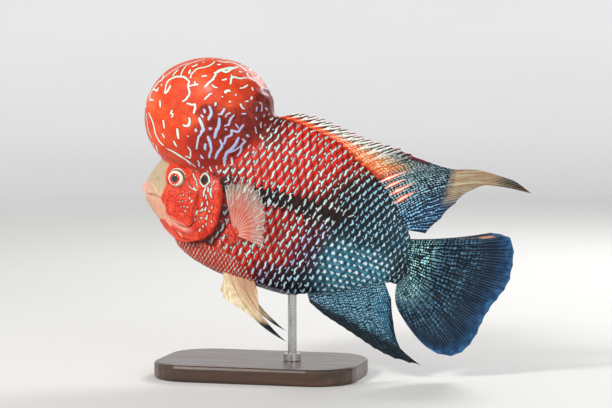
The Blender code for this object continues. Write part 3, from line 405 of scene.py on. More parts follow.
back_at = smooth_curve(BACK)
belly_at = smooth_curve(BELLY)
half_width_at = smooth_curve(HALF_WIDTH)
widest_at = smooth_curve(WIDEST_HEIGHT)


# Fish frame and pose

def section_point(s, angle):
    """The flesh at station s: y = width * |cos a| ^ sharpness, h = widest height + reach * sin a."""
    middle = widest_at(s)
    up = np.sin(angle) >= 0
    reach = np.where(up, back_at(s) - middle, middle - belly_at(s))
    sharp = np.where(up, BACK_SHARPNESS, 1.0)
    across = half_width_at(s) * np.sign(np.cos(angle)) * np.abs(np.cos(angle)) ** sharp
    return across, middle + reach * np.sin(angle)


def side_at(s, h):
    """How far the flesh's surface stands from the plane of symmetry at (s, h)."""
    middle = widest_at(s)
    up = h >= middle
    reach = np.where(up, back_at(s) - middle, middle - belly_at(s))
    share = np.clip(np.abs(h - middle) / np.maximum(reach, 0.01), 0, 0.999)
    sharp = np.where(up, BACK_SHARPNESS, 1.0)
    return half_width_at(s) * np.sqrt(1 - share**2) ** sharp


def hump_radius(angle):
    """The hump's outline radius: a smooth closed curve through its named radii."""
    radii = np.array(HUMP_RADII, float)
    count = len(radii)
    place = (angle / (2 * math.pi) * count) % count
    i = np.floor(place).astype(int)
    t = place - i
    a, b, c, d = (radii[(i + k) % count] for k in (-1, 0, 1, 2))
    return b + 0.5 * t * (c - a + t * (2 * a - 5 * b + 4 * c - d + t * (3 * (b - c) + d - a)))


def hump_level(points):
    """Below 0 inside the hump, 0 on it and above 0 outside: (r / R) ^ 3 + (y / half width) ^ 2 - 1."""
    ds, dh = points[..., 0] - HUMP_CENTRE[0], points[..., 2] - HUMP_CENTRE[1]
    share = np.hypot(ds, dh) / hump_radius(np.arctan2(dh, ds))
    return share**3 + (points[..., 1] / HUMP_HALF_WIDTH) ** 2 - 1


def backbone_turn(s):
    """How far the backbone has turned sideways at station s."""
    head = (HEAD_TURN_SPAN[0] - s) / (HEAD_TURN_SPAN[0] - HEAD_TURN_SPAN[1])
    tail = (s - TAIL_TURN_SPAN[0]) / (TAIL_TURN_SPAN[1] - TAIL_TURN_SPAN[0])
    return HEAD_TURN * ease(head) + TAIL_TURN * ease(tail)


def pose(points):
    """Straight points in millimetres, bent along the backbone, pitched and placed, in metres."""
    points = np.asarray(points, float)
    table = np.linspace(*POSE_RANGE, POSE_STEPS)
    turn = backbone_turn(table)
    step = table[1] - table[0]
    ahead, aside = np.cos(turn), -np.sin(turn)
    x = np.concatenate([[0], np.cumsum((ahead[1:] + ahead[:-1]) / 2 * step)])
    y = np.concatenate([[0], np.cumsum((aside[1:] + aside[:-1]) / 2 * step)])
    x -= np.interp(BEND_CENTRE, table, x)
    y -= np.interp(BEND_CENTRE, table, y)
    s, across, height = np.moveaxis(points, -1, 0)
    here = backbone_turn(s)
    bx = np.interp(s, table, x) + across * np.sin(here)
    by = np.interp(s, table, y) + across * np.cos(here)
    c, d = math.cos(PITCH), math.sin(PITCH)
    return np.stack([bx * c + height * d, by, height * c - bx * d], -1) * MM + np.array(FISH_PLACE)


# Meshes from arrays

def linked(name, data):
    obj = bpy.data.objects.new(name, data)
    bpy.context.scene.collection.objects.link(obj)
    return obj


def make_object(name, points, faces, finish=None):
    """A smooth-shaded mesh from an array of points in metres and an array of faces of one size."""
    mesh = bpy.data.meshes.new(name)
    count, corners = faces.shape
    mesh.vertices.add(len(points))
    mesh.vertices.foreach_set("co", np.ascontiguousarray(points, np.float32).ravel())
    mesh.loops.add(count * corners)
    mesh.loops.foreach_set("vertex_index", np.ascontiguousarray(faces, np.int32).ravel())
    mesh.polygons.add(count)
    mesh.polygons.foreach_set("loop_start", np.arange(0, count * corners, corners, dtype=np.int32))
    mesh.update(calc_edges=True)
    mesh.validate()
    mesh.shade_smooth()
    obj = linked(name, mesh)
    if finish:
        mesh.materials.append(finish)
    return obj


def set_attribute(obj, name, values):
    """Stores one number or one vector a vertex under a name that the materials read."""
    values = np.asarray(values, np.float32)
    kind, field = ("FLOAT_VECTOR", "vector") if values.ndim == 2 else ("FLOAT", "value")
    layer = obj.data.attributes.new(name, kind, "POINT")
    layer.data.foreach_set(field, np.ascontiguousarray(values).ravel())


def grid_faces(rows, columns, around=False):
    """Quads of a grid of points; around joins the last column to the first."""
    r = np.arange(rows - 1)[:, None]
    c = np.arange(columns if around else columns - 1)[None, :]
    right = (c + 1) % columns
    quads = np.stack(np.broadcast_arrays(r * columns + c, r * columns + right, (r + 1) * columns + right,
                                         (r + 1) * columns + c), -1)
    return quads.reshape(-1, 4)


def shell_faces(rows, columns):
    """Quads of a closed sheet: a front grid, a back grid of as many points after it, and the rim."""
    front = grid_faces(rows, columns)
    count = rows * columns
    index = np.arange(count).reshape(rows, columns)
    rim = np.concatenate([index[0], index[1:, -1], index[-1, -2::-1], index[-2:0:-1, 0]])
    after = np.roll(rim, -1)
    edge = np.stack([rim, rim + count, after + count, after], 1)
    return np.concatenate([front, front[:, ::-1] + count, edge])


def outwards(obj):
    """Turns every face of a closed mesh outwards."""
    shape = bmesh.new()
    shape.from_mesh(obj.data)
    bmesh.ops.recalc_face_normals(shape, faces=shape.faces)
    if shape.calc_volume(signed=True) < 0:
        bmesh.ops.reverse_faces(shape, faces=shape.faces)
    shape.to_mesh(obj.data)
    shape.free()


def split(quads):
    """Each quad as two triangles."""
    return np.concatenate([quads[:, (0, 1, 2)], quads[:, (0, 2, 3)]])


def closed_rings(rings, first_pole, last_pole):
    """Points and triangles of rings of points, closed by a pole at each end."""
    rows, columns = rings.shape[:2]
    points = np.concatenate([rings.reshape(-1, 3), [first_pole], [last_pole]])
    c = np.arange(columns)
    n = (c + 1) % columns
    low, high = rows * columns, rows * columns + 1
    first = np.stack([np.full(columns, low), n, c], 1)
    last = np.stack([np.full(columns, high), (rows - 1) * columns + c, (rows - 1) * columns + n], 1)
    return points, np.concatenate([split(grid_faces(rows, columns, True)), first, last])


def join_parts(parts):
    """Points and faces of several meshes in one pair of arrays."""
    points, faces, start = [], [], 0
    for p, f in parts:
        points.append(p)
        faces.append(f + start)
        start += len(p)
    return np.concatenate(points), np.concatenate(faces)


# Skin

def body_part():
    """Rings of section_point, closer together at the snout, closed at both ends."""
    t = np.linspace(0, 1, BODY_GRID[0])[1:]
    s = SNOUT + (TAIL_END - SNOUT) * (0.35 * t**2 + 0.65 * t)
    s[0] = SNOUT + 0.12
    angle = turns(BODY_GRID[1])
    y, h = section_point(s[:, None], angle[None, :])
    rings = np.stack([np.broadcast_to(s[:, None], y.shape), y, h], -1)
    return closed_rings(rings, (SNOUT, 0, widest_at(SNOUT)), (TAIL_END, 0, widest_at(TAIL_END)))


def hump_part():
    """A full dome: angle round its centre, and out = sin(polar) ^ (2 / 3) from its middle to each side."""
    polar = np.linspace(0, math.pi, HUMP_GRID[0])[1:-1, None]
    angle = turns(HUMP_GRID[1])[None, :]
    radius = hump_radius(angle) * np.sin(polar) ** (2 / 3)
    s = HUMP_CENTRE[0] + radius * np.cos(angle)
    h = HUMP_CENTRE[1] + radius * np.sin(angle)
    y = np.broadcast_to(np.cos(polar) * HUMP_HALF_WIDTH, s.shape)
    ends = [(HUMP_CENTRE[0], side * HUMP_HALF_WIDTH, HUMP_CENTRE[1]) for side in (1, -1)]
    return closed_rings(np.stack([s, y, h], -1), *ends)


def tube_part(path, radius):
    """Rings round a path, each in the plane across it, closed by a pole at each end."""
    along = np.gradient(path, axis=0)
    along /= np.linalg.norm(along, axis=1, keepdims=True)
    across = np.cross(along, (0, 0, 1.0))
    across /= np.linalg.norm(across, axis=1, keepdims=True)
    third = np.cross(across, along)
    angle = turns(TUBE_SIDES)
    around = np.cos(angle)[None, :, None] * across[:, None] + np.sin(angle)[None, :, None] * third[:, None]
    rings = path[:, None] + around * radius[:, None, None]
    return closed_rings(rings, path[0] - along[0] * radius[0] * 0.7,
                        path[-1] + along[-1] * radius[-1] * 0.7)


def lip_part(half_path):
    """A tapered tube round the front of the mouth."""
    whole = [(s, -y, h, r) for s, y, h, r in reversed(half_path[1:])] + list(half_path)
    rows = spread(whole, LIP_RINGS)
    return tube_part(rows[:, :3], rows[:, 3])


def orbit_part(side):
    """The fleshy ring round the eye: a torus turned to lie along the cheek."""
    turn, tube = np.meshgrid(turns(ORBIT_GRID[0]), turns(ORBIT_GRID[1]), indexing="ij")
    reach = ORBIT_RADIUS + ORBIT_RIM * np.cos(tube)
    s, y, h = reach * np.cos(turn), ORBIT_RIM * np.sin(tube), reach * np.sin(turn)
    tilt = side * ORBIT_TILT
    turned = np.stack([s * math.cos(tilt) - y * math.sin(tilt), s * math.sin(tilt) + y * math.cos(tilt),
                       h], -1)
    points = turned.reshape(-1, 3) + np.array([EYE_PLACE[0], side * ORBIT_DEPTH, EYE_PLACE[2]])
    index = np.arange(turn.size).reshape(ORBIT_GRID)
    quads = np.stack([index, np.roll(index, -1, 1), np.roll(np.roll(index, -1, 0), -1, 1),
                      np.roll(index, -1, 0)], -1)
    return points, split(quads.reshape(-1, 4))


def remeshed(points, triangles):
    """One closed skin round overlapping parts, in even quads."""
    draft = make_object("skin_draft", points * MM, triangles)
    outwards(draft)
    modifier = draft.modifiers.new("one_skin", "REMESH")
    modifier.mode = "VOXEL"
    modifier.voxel_size = VOXEL * MM
    bpy.context.view_layer.update()
    mesh = bpy.data.meshes.new_from_object(draft.evaluated_get(bpy.context.evaluated_depsgraph_get()))
    bpy.data.objects.remove(draft, do_unlink=True)
    return mesh


def read(layer, field, width, kind=np.float32):
    """An array of a mesh layer's values, a row an element."""
    values = np.zeros(len(layer) * width, kind)
    layer.foreach_get(field, values)
    return values.reshape(-1, width)


def read_points(mesh):
    return read(mesh.vertices, "co", 3).astype(float)


def read_edges(mesh):
    return read(mesh.edges, "vertices", 2, np.int32)


def write_points(mesh, points):
    mesh.vertices.foreach_set("co", np.ascontiguousarray(points, np.float32).ravel())
    mesh.update()


def relaxed(points, edges, weight, rounds):
    """Moves each point by its weight towards the mean of its neighbours, round after round."""
    count = len(points)
    first, second = edges.T
    degree = np.maximum(np.bincount(edges.ravel(), minlength=count), 1)
    weight = np.broadcast_to(weight, (count,))[:, None]
    for _ in range(rounds):
        mean = (np.stack([np.bincount(first, points[second, k], count)
                          + np.bincount(second, points[first, k], count) for k in range(3)], 1)
                / degree[:, None])
        points = points + weight * (mean - points)
    return points


def finer_where(mesh, wanted):
    """Splits in four every face whose corners are all wanted."""
    shape = bmesh.new()
    shape.from_mesh(mesh)
    chosen = [edge for edge in shape.edges if wanted[edge.verts[0].index] and wanted[edge.verts[1].index]]
    bmesh.ops.subdivide_edges(shape, edges=chosen, cuts=1, use_grid_fill=True)
    bmesh.ops.triangulate(shape, faces=[face for face in shape.faces if len(face.verts) > 4])
    shape.to_mesh(mesh)
    shape.free()


def head_relief(points, normals):
    """How far each point of the skin is lifted along its normal by the folds, plates and pits of the head."""
    s, _, h = points.T
    flank = span(np.abs(normals[:, 1]), 0.12, 0.45)
    head = s < 100
    lift = np.zeros(len(s))

    def across(path, steps):
        return path_distance(spread(path, steps), s[head], h[head])

    # Gill cover: a low plate with a free rear edge, fading forward into the cheek.
    edge, along = across(GILL_REAR, 50)
    inside = -edge
    fade = span(along, 0.0, 0.14) * span(along, 1.0, 0.8)
    plate = np.where(inside > 0, GILL_PLATE * (1 - np.exp(-inside / 0.9))
                     * (1 - ease((inside - 5) / 18)), 0)
    trench = np.where(inside <= 0, -GILL_TRENCH * bell(inside, 1.6), 0)
    lip = GILL_LIP * bell(inside - 1.6, 1.0)
    lift[head] += flank[head] * fade * (plate + trench + lip)

    # Preopercle: the fold across the cheek.
    edge, along = across(PREOPERCLE, 40)
    inside = -edge
    fade = span(along, 0.0, 0.15) * span(along, 1.0, 0.8)
    fold = np.where(inside > 0, CHEEK_FOLD * np.exp(-inside / 5), 0)
    fold -= CHEEK_GROOVE * bell(inside + 0.5, 1.0)
    fold += CHEEK_SWELL * bell(inside + 3.2, 1.7)
    lift[head] += flank[head] * fade * fold

    # Mouth: a cleft between the lips that turns down at the corner.
    edge, along = across(MOUTH_LINE, 30)
    lift[head] -= MOUTH_CLEFT * bell(edge, 0.75) * span(along, 1.0, 0.88)

    # Folds of the upper lip and jaw behind the mouth.
    for path, depth, width in FACE_FOLDS:
        edge, along = across(path, 24)
        fade = span(along, 0.0, 0.25) * span(along, 1.0, 0.75)
        ridge = 0.5 * bell(edge - width * 1.6, width * 1.2)
        lift[head] += flank[head] * fade * depth * (ridge - bell(edge, width))

    # Nostril: a pit with a low rim.
    away = np.hypot(s - NOSTRIL_PLACE[0], h - NOSTRIL_PLACE[2])
    lift += flank * (NOSTRIL_RIM * bell(away - 1.9, 0.7) - NOSTRIL_PIT * bell(away, 1.0))

    # Hump: shallow swellings all over, and folds where it hangs over the nape.
    hump = span(hump_level(points), 0.12, 0.0)
    broad = value_noise(points, 17, 11) - 0.5
    small = value_noise(points * (1, 1, 0.6), 6.5, 12) - 0.5
    lumps = value_noise(points * (1, 0.8, 1), 4.2, 14)
    rear = span(s, 54, 68) * span(h, 58, 76)
    small_height = HUMP_SMALL[0] + HUMP_SMALL[1] * rear
    lift += hump * (HUMP_BROAD * broad + small_height * small + HUMP_LUMPS * rear * (lumps**1.5 - 0.35))
    level = hump_level(points)
    lift += HUMP_CREASE * bell(level, 0.12) * np.sin(level * 70) * span(s, 46, 20)

    # Eye socket: a thin rim, lower behind the eye.
    away = np.hypot(s - EYE_PLACE[0], h - EYE_PLACE[2])
    lift -= flank * bell(away - 8.8, 1.6) * (0.7 + 1.3 * span(s - EYE_PLACE[0], -1, 5))

    # Puffy cheek and brow.
    lift += (flank * span(s, 80, 60) * span(s, 24, 34) * (1 - hump) * 0.7
             * (value_noise(points, 7, 13) - 0.5))
    return lift


def seat_eyes(points):
    """Presses the skin in behind each eyeball, so that the ball stands in a socket."""
    s, y, h = points.T
    away = np.hypot(s - EYE_PLACE[0], h - EYE_PLACE[2])
    ball = np.sqrt(np.maximum(EYE_RADIUS**2 - away**2, 0))
    floor = EYE_PLACE[1] + ball - SOCKET_DEPTH
    inside = away < EYE_RADIUS - 0.2
    near = inside & (np.abs(y) > floor)
    seated = points.copy()
    seated[near, 1] = np.sign(y[near]) * floor[near]
    return seated


def zones(points):
    """Where each marking lies, as soft masks that skin and scales share.

    A: distance behind the red's rear edge, upper half, black band. B: hump, its dark rear, pale
    face. C: cheek, throat band, teal flank. D: red brow, shade behind the gill cover, black spot.
    """
    s, _, h = np.moveaxis(np.asarray(points, float), -1, 0)
    broad = value_noise(points, 15, 21) - 0.5
    fine = value_noise(points, 5, 22) - 0.5
    behind, _ = path_distance(spread(RED_EDGE, 40), s, h)
    border = (behind + 12 * broad + 9 * fine) / 100
    upper = span(h + 10 * fine, 4, 20)
    reach = smooth_curve(BAND_HALF)(s)
    away = np.abs(h - smooth_curve(BAND_MIDDLE)(s) + 4 * broad + 4 * fine)
    band = span(away, reach + 1.2, reach - 1.2) * span(s, 66, 72) * span(border, 0.06, 0.0)
    teal = (span(s + 10 * broad + 8 * fine, 141, 164) * span(h + 8 * broad + 8 * fine, 17, -1)
            * span(s + 6 * fine, 205, 190))
    level = hump_level(points)
    hump = span(level, 0.1, 0.0)
    dark = (span(smooth_curve(DARK_TOP)(s) - h + 12 * broad + 9 * fine, -8, 8)
            * span(s + 12 * fine + 8 * broad, 37, 59))
    temple = (span(h + 4 * fine, 23, 30) * span(s + 3 * fine, 47, 51) * span(s, 80, 72) * span(h, 62, 56)
              * (1 - hump))
    nape = span(s + 4 * fine, 74, 80) * span(s, 104, 92) * span(h, 60, 68)
    pale = span(s - smooth_curve(PALE_EDGE)(h) + 2.5 * broad + 2 * fine, 0.9, -1.1)
    edge, along = path_distance(spread(GILL_REAR, 40), s, h)
    cheek = span(s, 84, 72) * span(h, 36, 28) * np.where(s > 50, span(edge, 0.6, -0.6), 1)
    throat = bell(h + 12.6 + 0.12 * (s - 40), 2.0) * span(s, 30, 38) * span(s, 62, 54)
    from_eye = np.hypot(s - EYE_PLACE[0], h - EYE_PLACE[2])
    brow = bell(from_eye - 8.6, 1.5) * span(h - EYE_PLACE[2] + 0.3 * (EYE_PLACE[0] - s), 1, 5)
    shade = (span(edge, -0.8, 0.2) * span(edge, 6.0, 1.5) * span(along, 0.0, 0.08) * span(along, 0.9, 0.7)
             * span(s, 46, 56))
    spot = span(np.hypot(s - GILL_SPOT[0], h - GILL_SPOT[1]), 3.4, 2.6)
    return (np.stack([border, upper, band], -1),
            np.stack([hump, np.clip(np.maximum(dark * hump + 0.7 * temple, nape), 0, 1), pale], -1),
            np.stack([cheek, throat, teal], -1), np.stack([brow, shade, spot], -1))


def mark(obj, points):
    """Stores the straight place and the zones of each vertex."""
    set_attribute(obj, "rest", points)
    for letter, values in zip("abcd", zones(points)):
        set_attribute(obj, "zone_" + letter, values)


def on_skin_side(s, h, side):
    """The analytic surface of flesh or hump at (s, h), whichever stands further out."""
    ds, dh = s - HUMP_CENTRE[0], h - HUMP_CENTRE[1]
    share = np.hypot(ds, dh) / hump_radius(np.arctan2(dh, ds))
    dome = HUMP_HALF_WIDTH * np.sqrt(np.clip(1 - share**3, 0, 1))
    inside = (h < back_at(s)) & (h > belly_at(s)) & (s > SNOUT)
    return side * np.maximum(dome, np.where(inside, side_at(s, h), 0))


def line_points(path, side):
    """Points every LINE_STEP along a painted line; the right side's wander off the left's a little."""
    corners = np.array(path, float)
    if side > 0:
        spread_out = np.stack([corners[:, 0], 0 * corners[:, 0], corners[:, 1]], 1)
        wander = [value_noise(spread_out, LINE_WANDER_SIZE, seed) - 0.5 for seed in (61, 62)]
        corners = corners + LINE_WANDER * np.stack(wander, 1)
    length = np.hypot(*np.diff(corners, axis=0).T).sum()
    count = max(3, int(length / LINE_STEP) * 2)
    if len(corners) > 2:
        flat = spread(corners, count)
    else:
        flat = corners[0] + (corners[1] - corners[0]) * np.linspace(0, 1, count)[:, None]
    return np.stack([flat[:, 0], on_skin_side(flat[:, 0], flat[:, 1], side), flat[:, 1]], 1)


def loose_lines(taken):
    """Short winding lines over the rest of the hump: seeded starts kept clear of the named lines."""
    draws = np.random.default_rng(17)
    lines = []
    for _ in range(LOOSE_TRIES):
        angle, polar = draws.uniform(*LOOSE_ANGLES), draws.uniform(*LOOSE_POLARS)
        heading, turn = draws.uniform(0, 2 * math.pi), draws.normal(0, 0.12)
        steps = np.arange(int(draws.integers(*LOOSE_POINTS)))
        way = heading + turn * steps + 0.35 * np.sin(steps * 0.7 + heading)
        angle = angle + np.cumsum(np.cos(way)) * LOOSE_STEP / LOOSE_ROUND[0]
        polar = polar + np.cumsum(np.sin(way)) * LOOSE_STEP / LOOSE_ROUND[1]
        out = hump_radius(angle) * np.abs(np.sin(polar)) ** (2 / 3)
        points = np.stack([HUMP_CENTRE[0] + out * np.cos(angle), HUMP_HALF_WIDTH * np.cos(polar),
                           HUMP_CENTRE[1] + out * np.sin(angle)], 1)
        known = np.concatenate([taken] + [line for line, _ in lines])
        gap = np.linalg.norm(points[:, None] - known[None], axis=2).min()
        if gap > LOOSE_CLEAR and (points[:, 1] > LOOSE_FARTHEST).all():
            lines.append((points, draws.uniform(*LOOSE_HALF)))
    return lines


def near_line(points, line, reach):
    """Indices of the points in the line's box, widened by reach, and their distances from its points."""
    low, high = line.min(0) - reach, line.max(0) + reach
    near = np.nonzero(((points > low) & (points < high)).all(1))[0]
    return near, np.linalg.norm(points[near][:, None] - line[None], axis=2)


def nearest(points, line):
    """The nearest point to each point of a line, looked for in a box that grows until it holds them all."""
    reach = LINE_REACH
    near, away = near_line(points, line, reach)
    while not len(near) or away.min(0).max() > reach:
        reach *= 2
        near, away = near_line(points, line, reach)
    return points[near[away.argmin(0)]]


def line_field(points, lines):
    """Distance of each vertex from the nearest line's edge, below 0 inside a line."""
    field = np.full(len(points), LINE_FAR)
    for line, half in lines:
        near, away = near_line(points, line, LINE_REACH)
        if len(near):
            taper = 1 - 0.35 * np.abs(np.linspace(-1, 1, len(line))) ** 3
            field[near] = np.minimum(field[near], (away - half * taper).min(1))
    return field


def settled(lines, points):
    """Lines moved onto the nearest points of the finished skin, then smoothed along their length."""
    moved = []
    for line, half in lines:
        found = nearest(points, line)
        for _ in range(2):
            found[1:-1] = (found[:-2] + found[1:-1] + found[2:]) / 3
        moved.append((found, half))
    return moved


def painted_lines(points):
    """Three fields of distance from painted lines: pale, dark and cream."""
    tables = (HUMP_LINES + FACE_LINES, FOLD_SHADE_LINES, CREAM_AND_HIGHLIGHT_LINES)
    pale, dark, cream = ([(line_points(path, side), half) for side in SIDES.values()
                          for half, path in table] for table in tables)
    pale += loose_lines(np.concatenate([line for line, _ in pale]))
    head = points[:, 0] < LINE_REAR
    fields = np.full((len(points), 3), LINE_FAR)
    for column, lines in enumerate((pale, dark, cream)):
        fields[head, column] = line_field(points[head], settled(lines, points[head]))
    return fields


def skin(finish):
    """Body, hump, lips and orbits as one mesh: remeshed, smoothed, split for detail, lifted by relief."""
    parts = [body_part(), hump_part(), lip_part(UPPER_LIP), lip_part(LOWER_LIP), orbit_part(-1),
             orbit_part(1)]
    points, triangles = join_parts(parts)
    start, share = TAIL_SQUEEZE
    points[:, 0] -= np.maximum(points[:, 0] - start, 0) * (1 - share)
    mesh = remeshed(points, triangles)
    points = read_points(mesh) / MM
    points[:, 0] += np.maximum(points[:, 0] - start, 0) * (1 / share - 1)
    s, y, h = points.T
    crease = (span(np.abs(hump_level(points)), 0.3, 0.1) * span(np.abs(side_at(s, h) - np.abs(y)), 5, 2)
              * span(s, 26, 48))
    edges = read_edges(mesh)
    points = relaxed(points, edges, 0.5 * crease, CREASE_ROUNDS)
    points = relaxed(points, edges, 0.5, 2)
    write_points(mesh, points * MM)
    face = (points[:, 0] < FACE_DETAIL[0]) & (points[:, 2] < FACE_DETAIL[1])
    finer_where(mesh, face | (painted_lines(points).min(1) < LINE_DETAIL))
    points = relaxed(read_points(mesh) / MM, read_edges(mesh), 0.4, 2)
    write_points(mesh, points * MM)
    normals = read(mesh.vertex_normals, "vector", 3).astype(float)
    points = points + normals * head_relief(points, normals)[:, None]
    points = seat_eyes(points)
    write_points(mesh, pose(points))
    mesh.name = "skin"
    mesh.shade_smooth()
    obj = linked("skin", mesh)
    mesh.materials.clear()
    mesh.materials.append(finish)
    mark(obj, points)
    set_attribute(obj, "painted", painted_lines(points))
    return obj


# Scales

def arc_table():
    """Section angle for every station and distance along the skin from the scales' midline."""
    stations = np.linspace(SCALE_START, TAIL_END, 120)
    arcs = np.linspace(-SCALE_ARC, SCALE_ARC, 361)
    angles = np.linspace(-math.pi / 2, math.pi / 2, 241)
    table = np.zeros((len(stations), len(arcs)))
    midline = smooth_curve(SCALE_MIDLINE)
    for row, s in enumerate(stations):
        y, h = section_point(np.full(len(angles), s), angles)
        length = np.concatenate([[0], np.cumsum(np.hypot(np.diff(y), np.diff(h)))])
        length -= np.interp(midline(s), h, length)
        table[row] = np.interp(arcs, length, angles)
    return stations, arcs, table


def on_flank(s, arc, tables):
    """The point of the flank at a station and a distance along the skin from the midline, with its normal."""
    stations, arcs, table = tables

    def place(s, arc):
        a = np.clip((s - stations[0]) / (stations[1] - stations[0]), 0, len(stations) - 1.001)
        b = np.clip((arc - arcs[0]) / (arcs[1] - arcs[0]), 0, len(arcs) - 1.001)
        i, j = a.astype(int), b.astype(int)
        u, v = a - i, b - j
        angle = ((table[i, j] * (1 - v) + table[i, j + 1] * v) * (1 - u)
                 + (table[i + 1, j] * (1 - v) + table[i + 1, j + 1] * v) * u)
        y, h = section_point(s, angle)
        return np.stack([np.broadcast_to(s, y.shape), y, h], -1)

    point = place(s, arc)
    along = place(s + 0.4, arc) - place(s - 0.4, arc)
    upward = place(s, arc + 0.4) - place(s, arc - 0.4)
    normal = np.cross(upward, along)
    normal /= np.maximum(np.linalg.norm(normal, axis=-1, keepdims=True), 1e-9)
    return point, normal * np.where(normal[..., 1:2] < 0, -1, 1)


def scale_rows(length_at, row_at, draws):
    """Roots in rows along the midline, every other row half a step on: station, arc, step, row width."""
    fine = np.linspace(SCALE_START, TAIL_END, 2000)
    count = np.concatenate([[0], np.cumsum(np.diff(fine) / length_at((fine[1:] + fine[:-1]) / 2))])
    reach = int(80 / row_at(60.0)) + 2
    roots = []
    for row in range(-reach, reach + 1):
        steps = np.arange(0, count[-1], 1) + 0.5 * (row % 2)
        s = np.interp(steps, count, fine)
        length, width = length_at(s), row_at(s)
        arc = row * width * 0.985 + draws.uniform(-SCALE_JITTER, SCALE_JITTER, len(s)) * width
        s = s + draws.uniform(-SCALE_JITTER, SCALE_JITTER, len(s)) * length
        roots.append(np.stack([s, arc, length, width], 1))
    return np.concatenate(roots)


def scale_roots(tables):
    """All scales of a flank: body scales, and small ones on the breast in front of the pelvic fins."""
    draws = np.random.default_rng(7)
    body = scale_rows(smooth_curve(SCALE_LENGTH), smooth_curve(SCALE_ROW), draws)
    step, width = BREAST_SCALES
    breast = scale_rows(lambda s: 0 * s + step, lambda s: 0 * s + width, draws)
    chosen = []
    for roots, small in ((body, False), (breast, True)):
        point, _ = on_flank(roots[:, 0], roots[:, 1], tables)
        s, _, h = point.T
        edge, _ = path_distance(spread(GILL_REAR, 50), s, h)
        low = h < -21 - 0.5 * np.maximum(s - 84, 0)
        clear_of_hump = hump_level(point) > 0.04
        across_lobe = (s - PECTORAL_CENTRE[0]) / PECTORAL_LOBE[0]
        up_lobe = (h - PECTORAL_CENTRE[1]) / PECTORAL_LOBE[2]
        clear_of_lobe = np.hypot(across_lobe, up_lobe) > 0.75
        inside = (h < back_at(s) - 0.35) & (h > belly_at(s) + 0.5) & (s < TAIL_END - 1)
        front = (s > 66) | ((h < -24) & (s > 44))
        chosen.append(roots[(edge > 0.4) & clear_of_hump & clear_of_lobe & inside & front & (low == small)])
    return np.concatenate(chosen)


def scale_coat(side, finish, tables):
    """Scales over one flank, each lying on the next: u runs from each root to its rear edge and v across it.

    The rear edge is an arc; the scale rises along u, swells a little behind the one before it, and
    its rim turns down into the skin.
    """
    roots = scale_roots(tables)
    spread_u = np.array(SCALE_SPREAD)
    rows, columns = len(spread_u), SCALE_COLUMNS
    u = spread_u[None, :, None]
    v = np.linspace(-1, 1, columns)[None, None, :]
    length, pitch = roots[:, 2, None, None], roots[:, 3, None, None]
    draws = np.random.default_rng(31).random((len(roots), 3))
    ragged = draws[:, :, None, None]
    reach = length * (SCALE_REACH + 0.08 * ragged[:, 0])
    rear = reach * (1 - 0.42 * v**2 - 0.16 * v**4)
    s_off = -SCALE_OVERLAP * length + rear * u
    arc_off = pitch * 0.84 * (1 - 0.25 * (1 - u) ** 2) * np.sin(v * math.pi / 2)
    s = roots[:, 0, None, None] + s_off
    arc = roots[:, 1, None, None] + arc_off
    point, normal = on_flank(s, arc, tables)
    size = length / SCALE_FULL
    swell = np.sin(math.pi * np.clip((u - 0.3) / 0.7, 0, 1)) * (1 - v**2)
    lift = size * (0.05 + 0.60 * u + 0.15 * swell * (0.7 + 0.6 * ragged[:, 1]) - 0.4 * v**4)
    last = (np.arange(rows) == rows - 1)[None, :, None]
    lift = np.where((np.abs(v) > 0.99) | last | (u < 0.01), -SCALE_RIM, lift)
    point = point + normal * lift[..., None]
    point[..., 1] *= 0.9 + 0.1 * span(roots[:, 0], 214, 200)[:, None, None]
    straight = point * (1, side, 1)
    quads = grid_faces(rows, columns)
    if side > 0:
        quads = quads[:, ::-1]
    start = np.arange(len(roots))[:, None, None] * rows * columns
    faces = (quads[None] + start).reshape(-1, 4)
    name = "scales_left" if side < 0 else "scales_right"
    obj = make_object(name, pose(straight).reshape(-1, 3), faces, finish)
    root_point = on_flank(roots[:, 0], roots[:, 1], tables)[0] * (1, side, 1)
    mark(obj, straight.reshape(-1, 3))
    for letter, values in zip("abcd", zones(root_point)):
        set_attribute(obj, "root_" + letter, np.repeat(values, rows * columns, 0))
    shape = (len(roots), rows, columns)
    local = np.stack(np.broadcast_arrays(s_off / length, arc_off / pitch, np.broadcast_to(u, shape)), -1)
    set_attribute(obj, "scale_local", local.reshape(-1, 3))
    set_attribute(obj, "scale_chance", np.repeat(draws, rows * columns, 0))
    patch = np.stack(np.broadcast_arrays(np.broadcast_to(u * 2 - 1, shape), v), -1)
    lay_coat_map(obj, roots, patch, side)
    return obj


def lay_coat_map(obj, roots, patch, side):
    """Each scale's patch on an unwrap: station across, distance round the body up, left below right."""
    across = 0.02 + 0.96 * (roots[:, 0] - SCALE_START) / (TAIL_END - SCALE_START)
    up = (0.02 if side < 0 else 0.52) + 0.46 * (roots[:, 1] + SCALE_ARC) / (2 * SCALE_ARC)
    place = (np.stack([across, up], -1)[:, None, None, :] + patch * SCALE_PATCH).reshape(-1, 2)
    loops = read(obj.data.loops, "vertex_index", 1, np.int32)[:, 0]
    layer = obj.data.uv_layers.new(name="OFBake")
    layer.data.foreach_set("uv", np.ascontiguousarray(place[loops], np.float32).ravel())


# Fins

def ray_curve(root, tip, bow, t):
    """A quadratic curve along a ray whose middle is pushed off its chord, in (s, h)."""
    chord = tip - root
    length = np.hypot(chord[..., 0], chord[..., 2])
    across = np.stack([-chord[..., 2], 0 * length, chord[..., 0]], -1) / np.maximum(length, 1e-6)[..., None]
    control = (root + tip) / 2 + across * (bow * length)[..., None]
    return root * (1 - t) ** 2 + control * 2 * t * (1 - t) + tip * t**2


def sheet_normals(grid):
    """Unit vectors across a grid of points."""
    across = np.gradient(grid, axis=0)
    along = np.gradient(grid, axis=1)
    normal = np.cross(across, along)
    return normal / np.maximum(np.linalg.norm(normal, axis=-1, keepdims=True), 1e-9)


